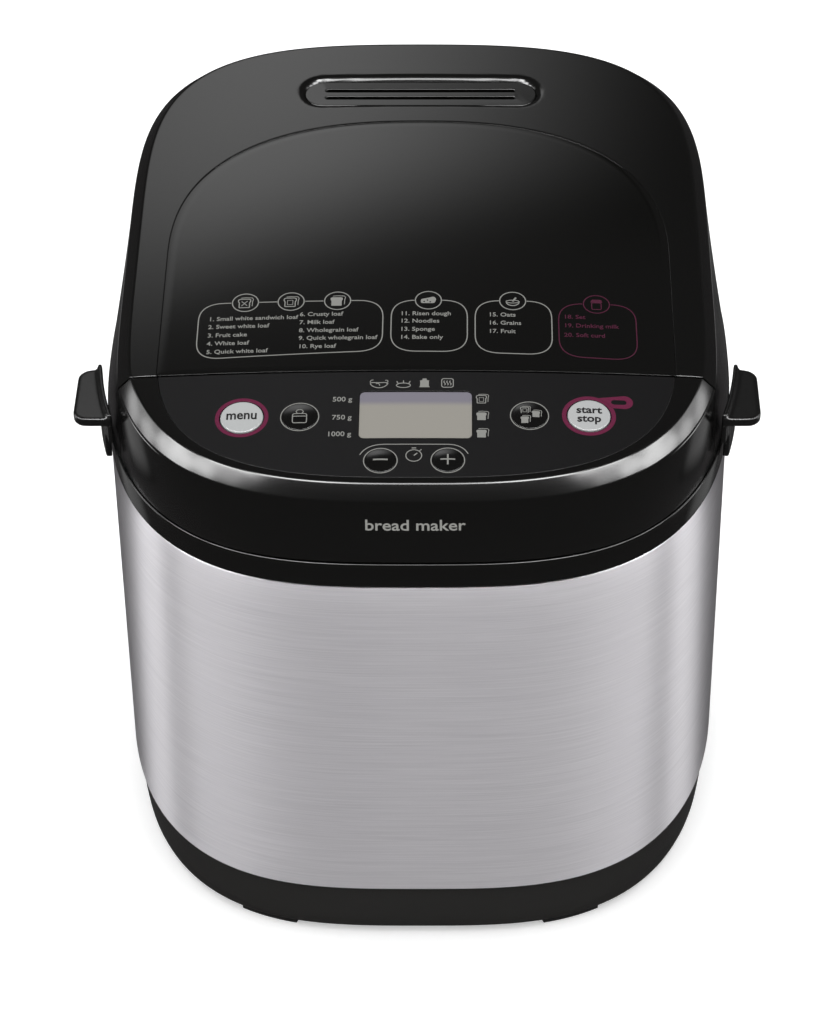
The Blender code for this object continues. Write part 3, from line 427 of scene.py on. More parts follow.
# %% [markdown]
# ## The head and the lid
#
# The head and the lid are two hollow mouldings cut from the same form: an upright wall, a chamfer all
# round, and the sloped top. Both are skinned the same way, as a D whose straight side is the seam between
# them. A panel is let into each, flush with the top, so the skin stops at a small step where the panel
# starts. The head's front corners are rounder than the lid's.

# %% Head and lid
STEP_DEPTH = 0.0016
VENT_Y, VENT_HALF_X, VENT_HALF_Y = 0.1066, 0.0551, 0.0114


def bend(start, control, end, steps=8):
    """A smooth curve from start to end, pulled towards control."""
    start, control, end = (np.asarray(v, float) for v in (start, control, end))
    t = np.linspace(0, 1, steps + 1)[:, None]
    return (1 - t) ** 2 * start + 2 * t * (1 - t) * control + t**2 * end


def soft_corner(corner, before, after, reach, steps=4):
    """Points that cut a corner between two directions with a smooth curve."""
    corner, before, after = (np.asarray(v, float) for v in (corner, before, after))
    start = corner - reach * before / np.linalg.norm(before)
    end = corner + reach * after / np.linalg.norm(after)
    return bend(start, corner, end, steps)


def stadium_distance(x, y, half_x, half_y, middle_y):
    """Distance outside a stadium shape, negative inside it."""
    straight = half_x - half_y
    return np.hypot(np.maximum(np.abs(x) - straight, 0.0), y - middle_y) - half_y


def vent_drop(x, y):
    """How far the lid's top sinks into the steam vent's recess: a soft lip, then a steep wall."""
    inside = np.clip(-stadium_distance(x, y, VENT_HALF_X, VENT_HALF_Y, VENT_Y) / 0.0030, 0.0, 1.6)
    return 0.0022 * np.minimum(inside, 1.0) ** 2 + 0.0040 * np.clip(inside - 0.9, 0.0, 0.7)


def seam_line(toward, half_x, edge_inset, count=61):
    """Plan points along the seam, from left to right, without the ends."""
    y = SEAM_Y + toward * edge_inset
    xs = np.linspace(-half_x, half_x, count)[1:-1]
    step = let_in_arc(toward)[0, 0]
    xs = np.sort(np.concatenate([xs, [-step - 1e-4, -step + 1e-4, step - 1e-4, step + 1e-4]]))
    return np.stack([xs, np.full(len(xs), y)], axis=1)


def hood_row(shape, toward, inset, edge_inset, drop=None, z=None):
    """One closed D of the hood, at a height or at a drop below the top."""
    arc = hood_arc(shape, toward, inset, edge_inset)
    line = seam_line(toward, arc[0, 0], edge_inset)
    plan = np.vstack([arc, line])
    if z is not None:
        return at_height(plan, z)
    height = top_z(plan[:, 0], plan[:, 1]) - drop
    step = let_in_arc(toward)[0, 0]
    under_panel = (np.arange(len(plan)) >= len(arc)) & (np.abs(plan[:, 0]) < step)
    lowest = top_z(plan[:, 0], plan[:, 1]) - STEP_DEPTH
    return np.column_stack([plan, np.where(under_panel, np.minimum(height, lowest), height)])


def make_hood(name, toward):
    """The upright wall, the chamfer and the top of the lid (toward +1) or of the head (-1)."""
    gap, wall, lip = SEAM_GAP / 2, 0.0025, 0.0004
    shoulder = LID_SHOULDER if toward > 0 else HEAD_SHOULDER
    inside = CHAMFER_HEIGHT + 0.0030
    rows = [hood_row(shoulder, toward, wall, gap + wall, drop=inside)]
    for i, d in ((0.0, 0.0), (0.0001, 0.0003), (0.0004, lip)):
        rows.append(hood_row(FOOT_OF_HOOD, toward, wall - i, gap + wall - i, z=HOOD_BOTTOM + lip - d))
    for i, d in ((0.0012, 0.0), (0.0010, 0.0001), (0.0009, 0.0004)):
        rows.append(hood_row(FOOT_OF_HOOD, toward, i, gap + lip, z=HOOD_BOTTOM + d))
    slope = (CHAMFER_WIDTH, -CHAMFER_HEIGHT)
    profile = np.vstack([
        soft_corner((0.0, CHAMFER_HEIGHT), (0, -1), slope, 0.0009),
        soft_corner((CHAMFER_WIDTH, 0.0), slope, (1, 0), 0.0009),
    ])
    round_off = 0.0005
    for inset, drop in profile:
        near_top = max(0.0, round_off - drop)
        edge_inset = gap + round_off - sqrt(round_off**2 - near_top**2)
        rows.append(hood_row(shoulder, toward, inset, edge_inset, drop=drop))
    hood = skin(name + "_wall", rows)
    outer = hood_arc(shoulder, toward, profile[-1][0], gap + round_off)
    inner = let_in_arc(toward, -0.00010, gap + round_off)
    band = []
    for t in np.linspace(0, 1, 52):
        plan = outer * (1 - t) + inner * t
        z = top_z(plan[:, 0], plan[:, 1])
        if toward > 0:
            z = z - vent_drop(plan[:, 0], plan[:, 1])
        band.append(np.column_stack([plan, z]))
    for inset, drop in ((-0.00003, 0.00003), (0.0, 0.00010), (0.0, STEP_DEPTH + 0.0006)):
        plan = let_in_arc(toward, inset, gap + round_off)
        band.append(at_height(plan, lambda x, y: top_z(x, y) - drop))
    top = skin(name, band, wrap_columns=False)
    return merged(name, [hood, top])


def merged(name, parts, sharp=42):
    """One object out of several, welded where their points meet."""
    bm = bmesh.new()
    for part in parts:
        bm.from_mesh(part.data)
        bpy.data.objects.remove(part)
    mesh = bpy.data.meshes.new(name)
    bm.to_mesh(mesh)
    bm.free()
    return finish_mesh(name, mesh, sharp)


lid = dress(make_hood("lid_hood", 1), gloss_black, "lid", "gloss_black", "lid_shell")
head = dress(make_hood("control_head", -1), gloss_black, "case", "gloss_black", "control_fascia")
print(len(lid.data.polygons), len(head.data.polygons), "faces")

# %% [markdown]
# ## The panel in the lid
#
# The glossier panel is a separate moulding, 1.4 mm thick, held by clips. Its edge has a radius of a tenth
# of a millimetre, and only the hairline of shadow beside it shows where one moulding ends and the next
# begins.

# %% Lid panel
def d_ring(toward, inset, edge_inset, drop):
    """A closed ring round a let-in panel."""
    arc = let_in_arc(toward, inset, edge_inset)
    line = np.linspace(arc[-1], arc[0], 62)[1:-1]
    return at_height(np.vstack([arc, line]), lambda x, y: top_z(x, y) - drop)


def crowned_top(ring, steps=26):
    """Rings that shrink from a rim to its middle, each lifted to the top surface."""
    middle = np.array([0.0, (ring[:, 1].min() + ring[:, 1].max()) / 2])
    rows = []
    for s in np.linspace(1.0, 0.0, steps + 1)[1:]:
        plan = middle + (ring[:, :2] - middle) * max(s, 1e-4)
        rows.append(at_height(plan, top_z))
    return rows


def let_in_panel(name, toward, gap=0.00012, thick=0.0014, edge=0.0001):
    """A thin moulding with a softened edge that fills the step in the hood."""
    rows = [d_ring(toward, gap, SEAM_GAP / 2, thick)]
    for i in range(5):
        turn = i / 4 * pi / 2
        inset = edge * (1 - cos(turn))
        rows.append(d_ring(toward, gap + inset, SEAM_GAP / 2 + inset, edge * (1 - sin(turn))))
    return skin(name, rows + crowned_top(rows[-1]), cap_start=True)


lid_panel = dress(let_in_panel("lid_panel", 1), inlay_black, "lid", "gloss_black", "lid_inlay")
print(lid_panel.name, len(lid_panel.data.polygons))

# %% [markdown]
# ## Steam vent
#
# Steam and air leave through two long slots in an oval grille that sits a little below the lid, in a recess
# with a soft lip. The grille is solid geometry, so the slots are cut with Booleans, and a bevel rounds
# every edge after.

# %% Steam vent
def stadium_plan(half_x, half_y, middle=(0.0, 0.0), steps=20):
    """Plan points of a bar with half-round ends."""
    points = []
    for side in (1, -1):
        for i in range(steps + 1):
            turn = -side * pi / 2 + pi * i / steps
            points.append((side * (half_x - half_y) + half_y * cos(turn), half_y * sin(turn)))
    return np.array(points) + middle


def solid(name, plan, low, high):
    """A closed solid between two heights, which are numbers or functions of x and y."""
    rows = [at_height(np.asarray(plan, float), z) for z in (low, high)]
    return skin(name, rows, cap_start=True, cap_end=True)


def apply_modifiers(piece):
    """Replaces a piece's mesh with its modified one."""
    graph = bpy.context.evaluated_depsgraph_get()
    mesh = bpy.data.meshes.new_from_object(piece.evaluated_get(graph))
    piece.modifiers.clear()
    piece.data = mesh
    return piece


def cut_and_round(piece, cutters, width, segments=3, angle=50):
    """Cuts pieces away, then rounds the edges."""
    for cutter in cutters:
        change = piece.modifiers.new("cut", "BOOLEAN")
        change.solver, change.object = "EXACT", cutter
    if width:
        edge = piece.modifiers.new("edges", "BEVEL")
        edge.width, edge.segments, edge.limit_method = width, segments, "ANGLE"
        edge.angle_limit = radians(angle)
        edge.harden_normals = True
    apply_modifiers(piece)
    for cutter in cutters:
        bpy.data.objects.remove(cutter)
    return piece


def below_top(drop):
    return lambda x, y: top_z(x, y) - drop


bars = stadium_plan(0.0524, 0.0084, (0.0, VENT_Y))
grille = solid("steam_grille", bars, below_top(0.0050), below_top(0.0014))
slots = []
for offset in (-0.0026, 0.0026):
    plan = stadium_plan(0.0430, 0.0009, (0.0, VENT_Y + offset), 6)
    slots.append(solid("slot", plan, below_top(0.0100), below_top(-0.0020)))
grille = cut_and_round(grille, slots, 0.0005)
dress(grille, gloss_black, "lid", "gloss_black", "vent_cap")
print(grille.name, len(grille.data.polygons))

# %% [markdown]
# ## The printed control panel
#
# Behind the buttons lies a flat moulding that carries a matt printed film, a shade lighter than the gloss
# around it. It has holes for the six buttons and the display. It is drawn as a filled 2-D curve, sliced
# into strips so that it can bend, and laid on the top surface.

# %% Flat shapes laid on the top
def circle(radius, middle=(0.0, 0.0), steps=48):
    turn = np.linspace(0, 2 * pi, steps + 1)[:-1]
    return np.stack([middle[0] + radius * np.cos(turn), middle[1] + radius * np.sin(turn)], axis=1)


def rounded_box(half_x, half_y, radius, middle=(0.0, 0.0), steps=8):
    """Plan points of a rectangle with round corners."""
    points = []
    for quarter, (sx, sy) in enumerate(((1, 1), (-1, 1), (-1, -1), (1, -1))):
        for i in range(steps + 1):
            turn = (quarter + i / steps) * pi / 2
            corner_x, corner_y = sx * (half_x - radius), sy * (half_y - radius)
            points.append((corner_x + radius * cos(turn), corner_y + radius * sin(turn)))
    return np.array(points) + middle


def filled(loops, thick=0.0, edge=0.0):
    """A mesh of a filled shape. Loops inside loops are holes. Thick shapes can have a softened edge."""
    curve = bpy.data.curves.new("shape", "CURVE")
    curve.dimensions, curve.fill_mode = "2D", "BOTH"
    curve.extrude, curve.bevel_depth, curve.offset = max(thick / 2 - edge, 0.0), edge, -edge
    curve.bevel_resolution = 1
    for loop in loops:
        line = curve.splines.new("POLY")
        line.use_cyclic_u = True
        line.points.add(len(loop) - 1)
        for point, (x, y) in zip(line.points, loop):
            point.co = (x, y, 0.0, 1.0)
    return mesh_of(curve)


def mesh_of(curve):
    """The mesh of a curve or a text."""
    holder = add_object("holder", curve)
    graph = bpy.context.evaluated_depsgraph_get()
    mesh = bpy.data.meshes.new_from_object(holder.evaluated_get(graph))
    bpy.data.objects.remove(holder)
    return mesh


def bent(name, meshes, cuts, lift):
    """Joins flat meshes, slices them so that they can bend, and lifts each point."""
    bm = bmesh.new()
    for mesh in meshes:
        bm.from_mesh(mesh)
    for way, steps in cuts:
        for step in steps:
            everything = list(bm.verts) + list(bm.edges) + list(bm.faces)
            bmesh.ops.bisect_plane(bm, geom=everything, plane_co=Vector(way) * step, plane_no=way)
    for v in bm.verts:
        v.co.z += lift(v.co)
    mesh = bpy.data.meshes.new(name)
    bm.to_mesh(mesh)
    bm.free()
    return mesh


def lay_on_top(name, meshes, lift, strip=0.006):
    """Lays flat meshes on the top surface, in strips across."""
    xs = [v.co.x for mesh in meshes for v in mesh.vertices]
    cuts = [((1, 0, 0), np.arange(min(xs) + strip / 2, max(xs), strip))]
    mesh = bent(name, meshes, cuts, lambda at: float(top_z(at.x, at.y)) + lift)
    return finish_mesh(name, mesh, sharp=12)


print("loop helpers ready")

# %% Printed panel
BUTTONS = {
    "menu": (-0.0713, -0.1046, 0.0088),
    "weight": (-0.0475, -0.1049, 0.0074),
    "minus": (-0.0140, -0.1300, 0.0064),
    "plus": (0.0133, -0.1298, 0.0064),
    "crust": (0.0467, -0.1042, 0.0074),
    "start_stop": (0.0711, -0.1036, 0.0088),
}
LIGHT_CAPS = ("menu", "start_stop")
LCD_MIDDLE, LCD_HALF = (0.0, -0.1040), (0.0231, 0.0131)
film = moulded("printed_film", "#0c0b0d", 0.34, grain_mm=0.25, grain=0.10, ior=1.40)
outline = let_in_arc(-1, 0.00012, SEAM_GAP / 2 + 0.0001, 200)
holes = [circle(r + (0.0004 if key in LIGHT_CAPS else 0.00015), (x, y)) for key, (x, y, r) in BUTTONS.items()]
window_hole = rounded_box(LCD_HALF[0] + 0.0002, LCD_HALF[1] + 0.0002, 0.0024, LCD_MIDDLE)
panel = lay_on_top("printed_panel", [filled([outline, window_hole] + holes, 0.0014, 0.00015)], -0.0007)
dress(panel, film, "case", "gloss_black", "panel_overlay")
print(panel.name, len(panel.data.polygons))

# %% [markdown]
# ## Display
#
# The display is a reflective liquid crystal behind a clear window. Switched off it is an even warm grey.
# Its colour is painted a touch darker at the top: a painted shadow, where the frame throws one on it.

# %% Display
lcd, tree, shader = new_material("lcd_glass", Roughness=0.22, IOR=1.50)
place = add_node(tree, "TexCoord").outputs["Object"]
height = add_node(tree, "SeparateXYZ", {0: place}).outputs["Y"]
# Painted shadow: the base colour darkens over the top few millimetres of the window, standing in for the frame's
# shadow.
top_edge = LCD_MIDDLE[1] + LCD_HALF[1]
limits = {"Value": height, "From Min": top_edge - 0.0085, "From Max": top_edge - 0.0045}
band = add_node(tree, "MapRange", limits, interpolation_type="SMOOTHSTEP")
tones = {"Factor": band.outputs[0], "A": linear("#8f8c85"), "B": linear("#77747e")}
tone = add_node(tree, "Mix", tones, data_type="RGBA")
tree.links.new(tone.outputs["Result"], shader.inputs["Base Color"])
window = filled([rounded_box(LCD_HALF[0], LCD_HALF[1], 0.0022, LCD_MIDDLE)], 0.0012, 0.0001)
display = dress(lay_on_top("display_window", [window], -0.0009), lcd, "case", "lcd_window", "lcd_window")
print(display.name)

# %% [markdown]
# ## Buttons
#
# Two light caps are large and nearly flat; the four black ones are shallow gloss domes. Each is turned
# round its own axis, which stands square to the panel. A stem and a flange are hidden below.

# %% Buttons
def tilt_at(x, y):
    """A frame on the panel: its origin on the top surface, its Z along the surface's normal."""
    slope_x = -2 * CROWN * x / HALF_WIDTH**2
    turn = Matrix.Rotation(atan(PANEL_SLOPE), 4, "X") @ Matrix.Rotation(-atan(slope_x), 4, "Y")
    return Matrix.Translation((x, y, float(top_z(x, y)))) @ turn


def turned(name, profile, matrix, count=64):
    """A profile of (radius, height) turned round Z, then placed."""
    rows = [at_height(circle(max(r, 1e-5), steps=count), z) for r, z in profile]
    piece = skin(name, rows, cap_start=True, cap_end=True)
    piece.data.transform(matrix)
    return piece


def cap_shape(key):
    """A cap's edge radius, the height of its rim, and how far its middle domes above that."""
    return (0.0007, 0.0006, 0.0003) if key in LIGHT_CAPS else (0.0003, 0.0002, 0.0006)


def cap_height(key, r):
    """Height of a cap's top above the panel, at r from its middle."""
    edge, rim, dome = cap_shape(key)
    return rim + dome * (1 - min(r / (BUTTONS[key][2] - edge), 1.0) ** 2)


FLANGE, FLANGE_BOTTOM, FLANGE_TOP = 0.0012, -0.0056, -0.0044
white_cap = moulded("satin_white_abs", "#aaacac", 0.34)
for key, (x, y, radius) in BUTTONS.items():
    edge, rim, _ = cap_shape(key)
    profile = [(radius + FLANGE, FLANGE_BOTTOM), (radius + FLANGE, FLANGE_TOP)]
    profile += [(radius, FLANGE_TOP), (radius, -0.0001)]
    profile += [(radius - edge * (1 - cos(t)), rim * sin(t)) for t in np.linspace(0, pi / 2, 6)]
    profile += [(r, cap_height(key, r)) for r in np.linspace(radius - edge, 0.0, 16)[1:]]
    cap = turned(key + "_cap", profile, tilt_at(x, y))
    finish, slot = (white_cap, "button_white") if key in LIGHT_CAPS else (gloss_black, "gloss_black")
    dress(cap, finish, key + "_button", slot, key + "_button")
print(len(BUTTONS), "caps")

# %% [markdown]
# ## Printing
#
# The markings are pad printed: a soft silicone pad sets the ink down, so it follows the curve of the top.
# The ink is a few hundredths of a millimetre thick and half matt. Every line, icon and word is a flat
# filled shape of that thickness, drawn in plan and then laid on the top. The words are plain cooking words,
# set in Blender's own font.

# %% Ink and pen
INK = 0.00006
PEN, FINE_PEN = 0.00046, 0.0004
pale_ink = moulded("pale_grey_ink", "#80807c", 0.55, grain_mm=0.3, grain=0.10, ior=1.30)
dark_ink = moulded("black_ink", "#121214", 0.50, grain_mm=0.3, grain=0.10, ior=1.30)
magenta_ink = moulded("magenta_ink", "#5f0734", 0.55, grain_mm=0.3, grain=0.10, ior=1.22)
faint_magenta_ink = moulded("thin_magenta_ink", "#4a0c2c", 0.55, grain_mm=0.3, grain=0.10, ior=1.22)


def stroke(points, width=PEN, closed=False):
    """A flat line of one width along plan points."""
    points = np.asarray(points, float)
    ahead = np.roll(points, -1, axis=0) if closed else np.vstack([points[1:], points[-1:]])
    behind = np.roll(points, 1, axis=0) if closed else np.vstack([points[:1], points[:-1]])
    along = (ahead - behind) / np.linalg.norm(ahead - behind, axis=1)[:, None]
    side = np.stack([-along[:, 1], along[:, 0]], axis=1) * width / 2
    if closed:
        return filled([points + side, points - side], INK)
    return filled([np.vstack([points + side, (points - side)[::-1]])], INK)


def soft_polygon(corners, radius, steps=5):
    """A closed polygon whose corners are cut by smooth curves."""
    corners = np.asarray(corners, float)
    trios = zip(np.roll(corners, 1, axis=0), corners, np.roll(corners, -1, axis=0))
    return np.vstack([soft_corner(c, c - before, after - c, radius, steps) for before, c, after in trios])


def outside_circles(loop, middles, radius):
    """The pieces of an outline that lie outside circles round the middles."""
    points = resample(loop, 400, closed=True)
    clear = np.min([np.hypot(points[:, 0] - x, points[:, 1] - y) for x, y in middles], axis=0) > radius
    first = int(np.argmin(clear))
    points, clear = np.roll(points, -first, axis=0), np.roll(clear, -first)
    runs = np.split(np.arange(len(points)), np.flatnonzero(np.diff(clear.astype(int))) + 1)
    return [points[run] for run in runs if clear[run[0]]]


def words(text, x, y, size, stretch=0.74, weight=0.00006, align="LEFT"):
    """A line of text in plan. stretch narrows its letters, weight thickens them."""
    curve = bpy.data.curves.new("words", "FONT")
    curve.body, curve.size, curve.align_x = text, size, align
    curve.offset, curve.extrude, curve.resolution_u = weight, INK / 2, 3
    mesh = mesh_of(curve)
    mesh.transform(Matrix.Translation((x, y, 0)) @ Matrix.Diagonal((stretch, 1, 1, 1)))
    return mesh


print("ink", INK * 1000, "mm")

# %% Icons
MM = 0.001


def moved(points, x, y, scale=1.0):
    return np.asarray(points, float) * scale + (x, y)


def slice_outline(x, y, size):
    """A slice of tin bread, whose cap overhangs its sides."""
    shape = [(-0.42, -0.50), (0.42, -0.50), (0.42, 0.10), (0.50, 0.22), (0.50, 0.44), (0.36, 0.52)]
    shape += [(-0.36, 0.52), (-0.50, 0.44), (-0.50, 0.22), (-0.42, 0.10)]
    return soft_polygon(moved(shape, x, y, size), 0.05 * size, 2)


def loaf_icon(x, y, size, filling, pen=0.00034):
    """A slice with the loaf behind it. The slice is open, has a filled middle, or is filled."""
    behind = [(-0.30, 0.66), (0.10, 0.70), (0.62, 0.66), (0.72, 0.50), (0.66, 0.20), (0.64, -0.34)]
    meshes = [stroke(moved(behind, x, y, size), pen)]
    if filling == "full":
        return meshes + [filled([slice_outline(x, y, size)], INK)]
    meshes.append(stroke(slice_outline(x, y, size), pen * 1.3, closed=True))
    if filling == "middle":
        crumb = [(-0.22, -0.28), (0.22, -0.28), (0.22, 0.24), (-0.22, 0.24)]
        meshes.append(stroke(moved(crumb, x, y, size), pen, closed=True))
    if filling == "crossed":
        meshes.append(stroke(moved([(-0.24, -0.30), (0.24, 0.30)], x, y, size), pen))
        meshes.append(stroke(moved([(-0.24, 0.26), (0.0, 0.0), (0.22, -0.26)], x, y, size), pen))
    return meshes


def dough_loaf_icon(x, y):
    """A round-topped loaf lying on its side, its cut face dotted."""
    crust = [(-3.2, -1.7), (2.6, -1.7), (3.4, 0.9), (2.4, 2.5), (-0.4, 1.5), (-3.2, 0.8)]
    body = soft_polygon(moved(crust, x, y, MM), 0.0009, 4)
    holes = ((-0.0018, -0.0007), (-0.0004, 0.0002), (0.0008, -0.0009))
    return [filled([body] + [circle(0.0004, (x + u, y + v), 8) for u, v in holes], INK)]


def bowl_icon(x, y):
    """A bowl with a spoon in it."""
    turn = np.linspace(pi, 2 * pi, 15)
    bowl = moved(np.stack([2.7 * np.cos(turn), 2.2 * np.sin(turn)], axis=1), x, y, MM)
    rim = moved(np.stack([2.8 * np.cos(turn * 2), 0.9 * np.sin(turn * 2)], axis=1)[:-1], x, y + 0.0003, MM)
    spoon = stroke(moved([(0.0, 0.4), (1.4, 2.8)], x, y, MM), 0.0008)
    return [stroke(bowl, 0.0005), stroke(rim, FINE_PEN, closed=True), spoon]


def jar_icon(x, y):
    """A jar with a cloth cap."""
    cap = moved([(-2.6, 1.0), (2.6, 1.0), (2.0, 2.9), (-2.0, 2.9)], x, y, MM)
    glass = moved([(-2.0, -3.2), (2.0, -3.2), (2.0, 0.9), (-2.0, 0.9)], x, y, MM)
    outline = stroke(soft_polygon(glass, 0.0007, 3), FINE_PEN, closed=True)
    return [filled([soft_polygon(cap, 0.0006, 3)], INK), outline]


print("icons ready")

# %% Lid list
LIST_SIZE, ICON_RING = 0.0034, 0.00575
FRAMES = (
    (-0.0923, -0.0144, -0.0353, -0.0698, -0.0666, (-0.0729, -0.0535, -0.0338)),
    (-0.0109, 0.0212, -0.0353, -0.0669, -0.0672, (0.0047,)),
    (0.0245, 0.0568, -0.0353, -0.0676, -0.0684, (0.0404,)),
    (0.0597, 0.0924, -0.0362, -0.0690, -0.0704, (0.0759,)),
)
LISTS = (
    (-0.0880, (-0.0462, -0.0511, -0.0563, -0.0614, -0.0665),
     "1. Small white sandwich loaf,2. Sweet white loaf,3. Fruit cake,4. White loaf,5. Quick white loaf"),
    (-0.0496, (-0.0446, -0.0496, -0.0546, -0.0594, -0.0645),
     "6. Crusty loaf,7. Milk loaf,8. Wholegrain loaf,9. Quick wholegrain loaf,10. Rye loaf"),
    (-0.0071, (-0.0447, -0.0493, -0.0544, -0.0594), "11. Risen dough,12. Noodles,13. Sponge,14. Bake only"),
    (0.0301, (-0.0451, -0.0502, -0.0554), "15. Oats,16. Grains,17. Fruit"),
    (0.0618, (-0.0456, -0.0510, -0.0569), "18. Set,19. Drinking milk,20. Soft curd"),
)


def frame_lines(left, right, top, bottom_left, bottom_right, icons):
    """One frame round a list, broken where its round icons sit on its top line."""
    middles = [(x, top) for x in icons]
    loop = soft_polygon([(left, bottom_left), (right, bottom_right), (right, top), (left, top)], 0.0105, 10)
    meshes = [stroke(piece) for piece in outside_circles(loop, middles, 0.0057)]
    return meshes + [filled([circle(ICON_RING, m), circle(ICON_RING - PEN, m)], INK) for m in middles]


def list_words(x, baselines, lines):
    return [words(line, x, y, LIST_SIZE, 0.98, 0.00004) for y, line in zip(baselines, lines.split(","))]


pale, faint = [], []
for number, shape in enumerate(FRAMES):
    (faint if number == 3 else pale).extend(frame_lines(*shape))
for number, (x, baselines, lines) in enumerate(LISTS):
    (faint if number == 4 else pale).extend(list_words(x, baselines, lines))
for x, filling in ((-0.0729, "crossed"), (-0.0535, "middle"), (-0.0338, "full")):
    pale.extend(loaf_icon(x - 0.0004, -0.0358, 0.0052, filling))
pale.extend(dough_loaf_icon(0.0047, -0.0354) + bowl_icon(0.0404, -0.0360))
faint.extend(jar_icon(0.0759, -0.0362))
for name, meshes, ink in (("lid_list", pale, pale_ink), ("lid_list_faint", faint, faint_magenta_ink)):
    print(dress(lay_on_top(name, meshes, INK / 2), ink, "lid", "gloss_black").name)

# %% Panel markings
def wave(x, y, height, reach=0.0003):
    ts = np.linspace(0, 1, 13)
    return np.stack([x + reach * np.sin(ts * 2 * pi), y + height * ts], axis=1)


def ring_print(key, inner, outer):
    x, y, radius = BUTTONS[key]
    return filled([circle(radius + outer, (x, y), 72), circle(radius + inner, (x, y), 72)], INK)


pale = [ring_print(key, 0.0002, 0.00062) for key in ("weight", "minus", "plus", "crust")]
for text, y in (("500 g", -0.0964), ("750 g", -0.1067), ("1000 g", -0.1161)):
    pale.append(words(text, -0.0262, y, 0.0037, 1.0, 0.00004, "RIGHT"))
arc = np.vstack([
    bend((-0.0224, -0.1267), (-0.0200, -0.1212), (-0.0130, -0.1209)),
    bend((0.0130, -0.1209), (0.0193, -0.1209), (0.0215, -0.1261)),
])
pale.append(stroke(arc, FINE_PEN))
turn = np.linspace(0, 2 * pi, 25)[:-1]
dough = np.stack([3.6 * np.cos(turn), 1.5 * np.sin(turn) + 0.5 * np.cos(2 * turn)], axis=1)
kneading = moved(dough, -0.0153, -0.0868, MM)
rising = moved(np.stack([2.9 * np.cos(turn), 1.3 * np.sin(turn)], axis=1), -0.0052, -0.0874, MM)
pale += [stroke(kneading, FINE_PEN, closed=True), stroke(rising, FINE_PEN, closed=True)]
HANDS = (
    ((-0.0186, -0.0862), (-0.0196, -0.0844), (-0.0176, -0.0842)),
    ((-0.0128, -0.0845), (-0.0108, -0.0842), (-0.0122, -0.0864)),
    ((-0.0166, -0.0865), (-0.0152, -0.0856), (-0.0150, -0.0876)),
)
pale += [stroke(bend(*hand), 0.00035) for hand in HANDS]
for u, v in ((-0.0022, -0.0004), (0.0, 0.0), (0.0022, -0.0004)):
    pale.append(stroke([(-0.0052 + u, -0.0860 + v), (-0.0052 + u * 1.25, -0.0846 + v)], FINE_PEN))
tin = [(-2.2, -2.4), (2.2, -2.4), (1.8, -1.6), (1.8, 1.0), (2.0, 1.4), (0.9, 1.7), (0.8, 2.6)]
tin += [(-0.8, 2.6), (-0.9, 1.7), (-2.0, 1.4), (-1.8, 1.0), (-1.8, -1.6)]
pale.append(filled([moved(tin, 0.0035, -0.0861, MM)], INK))
pale.append(stroke(rounded_box(0.0024, 0.0025, 0.0010, (0.0130, -0.0860)), FINE_PEN, closed=True))
pale += [stroke(wave(0.0130 + u, -0.0873, 0.0026), FINE_PEN) for u in (-0.0012, 0.0, 0.0012)]
for y, filling in ((-0.0953, "middle"), (-0.1050, "full"), (-0.1148, "full")):
    pale.extend(loaf_icon(0.0270, y, 0.0042, filling, 0.0003))
timer = np.array((-0.0005, -0.1272))
pale.append(stroke(circle(0.0032, timer, 40), FINE_PEN, closed=True))
for start, end, pen in (
    ((0.0, 0.0), (0.0014, 0.0014), 0.0005),
    ((-0.0009, 0.0042), (0.0009, 0.0042), 0.0005),
    ((0.0023, 0.0026), (0.0031, 0.0034), FINE_PEN),
):
    pale.append(stroke([timer + start, timer + end], pen))
print(dress(lay_on_top("panel_markings", pale, INK / 2), pale_ink, "case", "gloss_black").name)

x, y, radius = BUTTONS["start_stop"]
TAIL_END_X, TAIL_END_Y, TAIL_RADIUS = 0.0858, -0.09535, 0.00365
outline = [(x + 0.0104 * cos(t), y + 0.0104 * sin(t)) for t in np.radians(np.linspace(28, 76, 9))]
for t in np.radians(np.linspace(90, -90, 17)):
    outline.append((TAIL_END_X + TAIL_RADIUS * cos(t), TAIL_END_Y + TAIL_RADIUS * sin(t)))
tail = filled([outline, stadium_plan(0.0032, 0.0013, (0.0836, -0.0954), 8)], INK)
rings = [ring_print("menu", 0.0005, 0.0022), ring_print("start_stop", 0.0005, 0.0023), tail]
print(dress(lay_on_top("magenta_rings", rings, INK / 2), magenta_ink, "case", "gloss_black").name)

# %% Cap markings
def print_on_cap(key, meshes, ink):
    """Lays markings, drawn round the cap's own middle, on its top."""
    steps = np.arange(-0.0075, 0.0076, 0.001)
    cuts = [((1, 0, 0), steps), ((0, 1, 0), steps)]
    mesh = bent(key + "_marking", meshes, cuts, lambda at: cap_height(key, at.xy.length) + INK / 2)
    mesh.transform(tilt_at(*BUTTONS[key][:2]))
    slot = "button_white" if key in LIGHT_CAPS else "gloss_black"
    return dress(finish_mesh(key + "_marking", mesh, sharp=12), ink, key + "_button", slot)


BOLD = 0.00013
weight_body = soft_polygon(np.multiply([(-2.9, -3.9), (2.9, -3.9), (2.9, 1.2), (-2.9, 1.2)], MM), 0.0009, 3)
knob = np.multiply([(-1.0, 1.3), (-1.5, 2.4), (-0.8, 3.5), (0.8, 3.5), (1.5, 2.4), (1.0, 1.3)], MM)
weight_lines = [stroke(weight_body, FINE_PEN, closed=True), stroke(knob, FINE_PEN)]
weight_lines.append(stroke([(-0.0028, -0.0003), (0.0028, -0.0003)], FINE_PEN))
plus_bars = [stroke([(-0.0030, 0.0), (0.0030, 0.0)], 0.0007)]
plus_bars += [stroke([(0.0, 0.0004 * way), (0.0, 0.0029 * way)], 0.0007) for way in (1, -1)]
start_words = [words("start", 0.0, 0.0009, 0.0056, 1.0, BOLD, "CENTER")]
start_words.append(words("stop", 0.0, -0.0040, 0.0056, 1.0, BOLD, "CENTER"))
slices = []
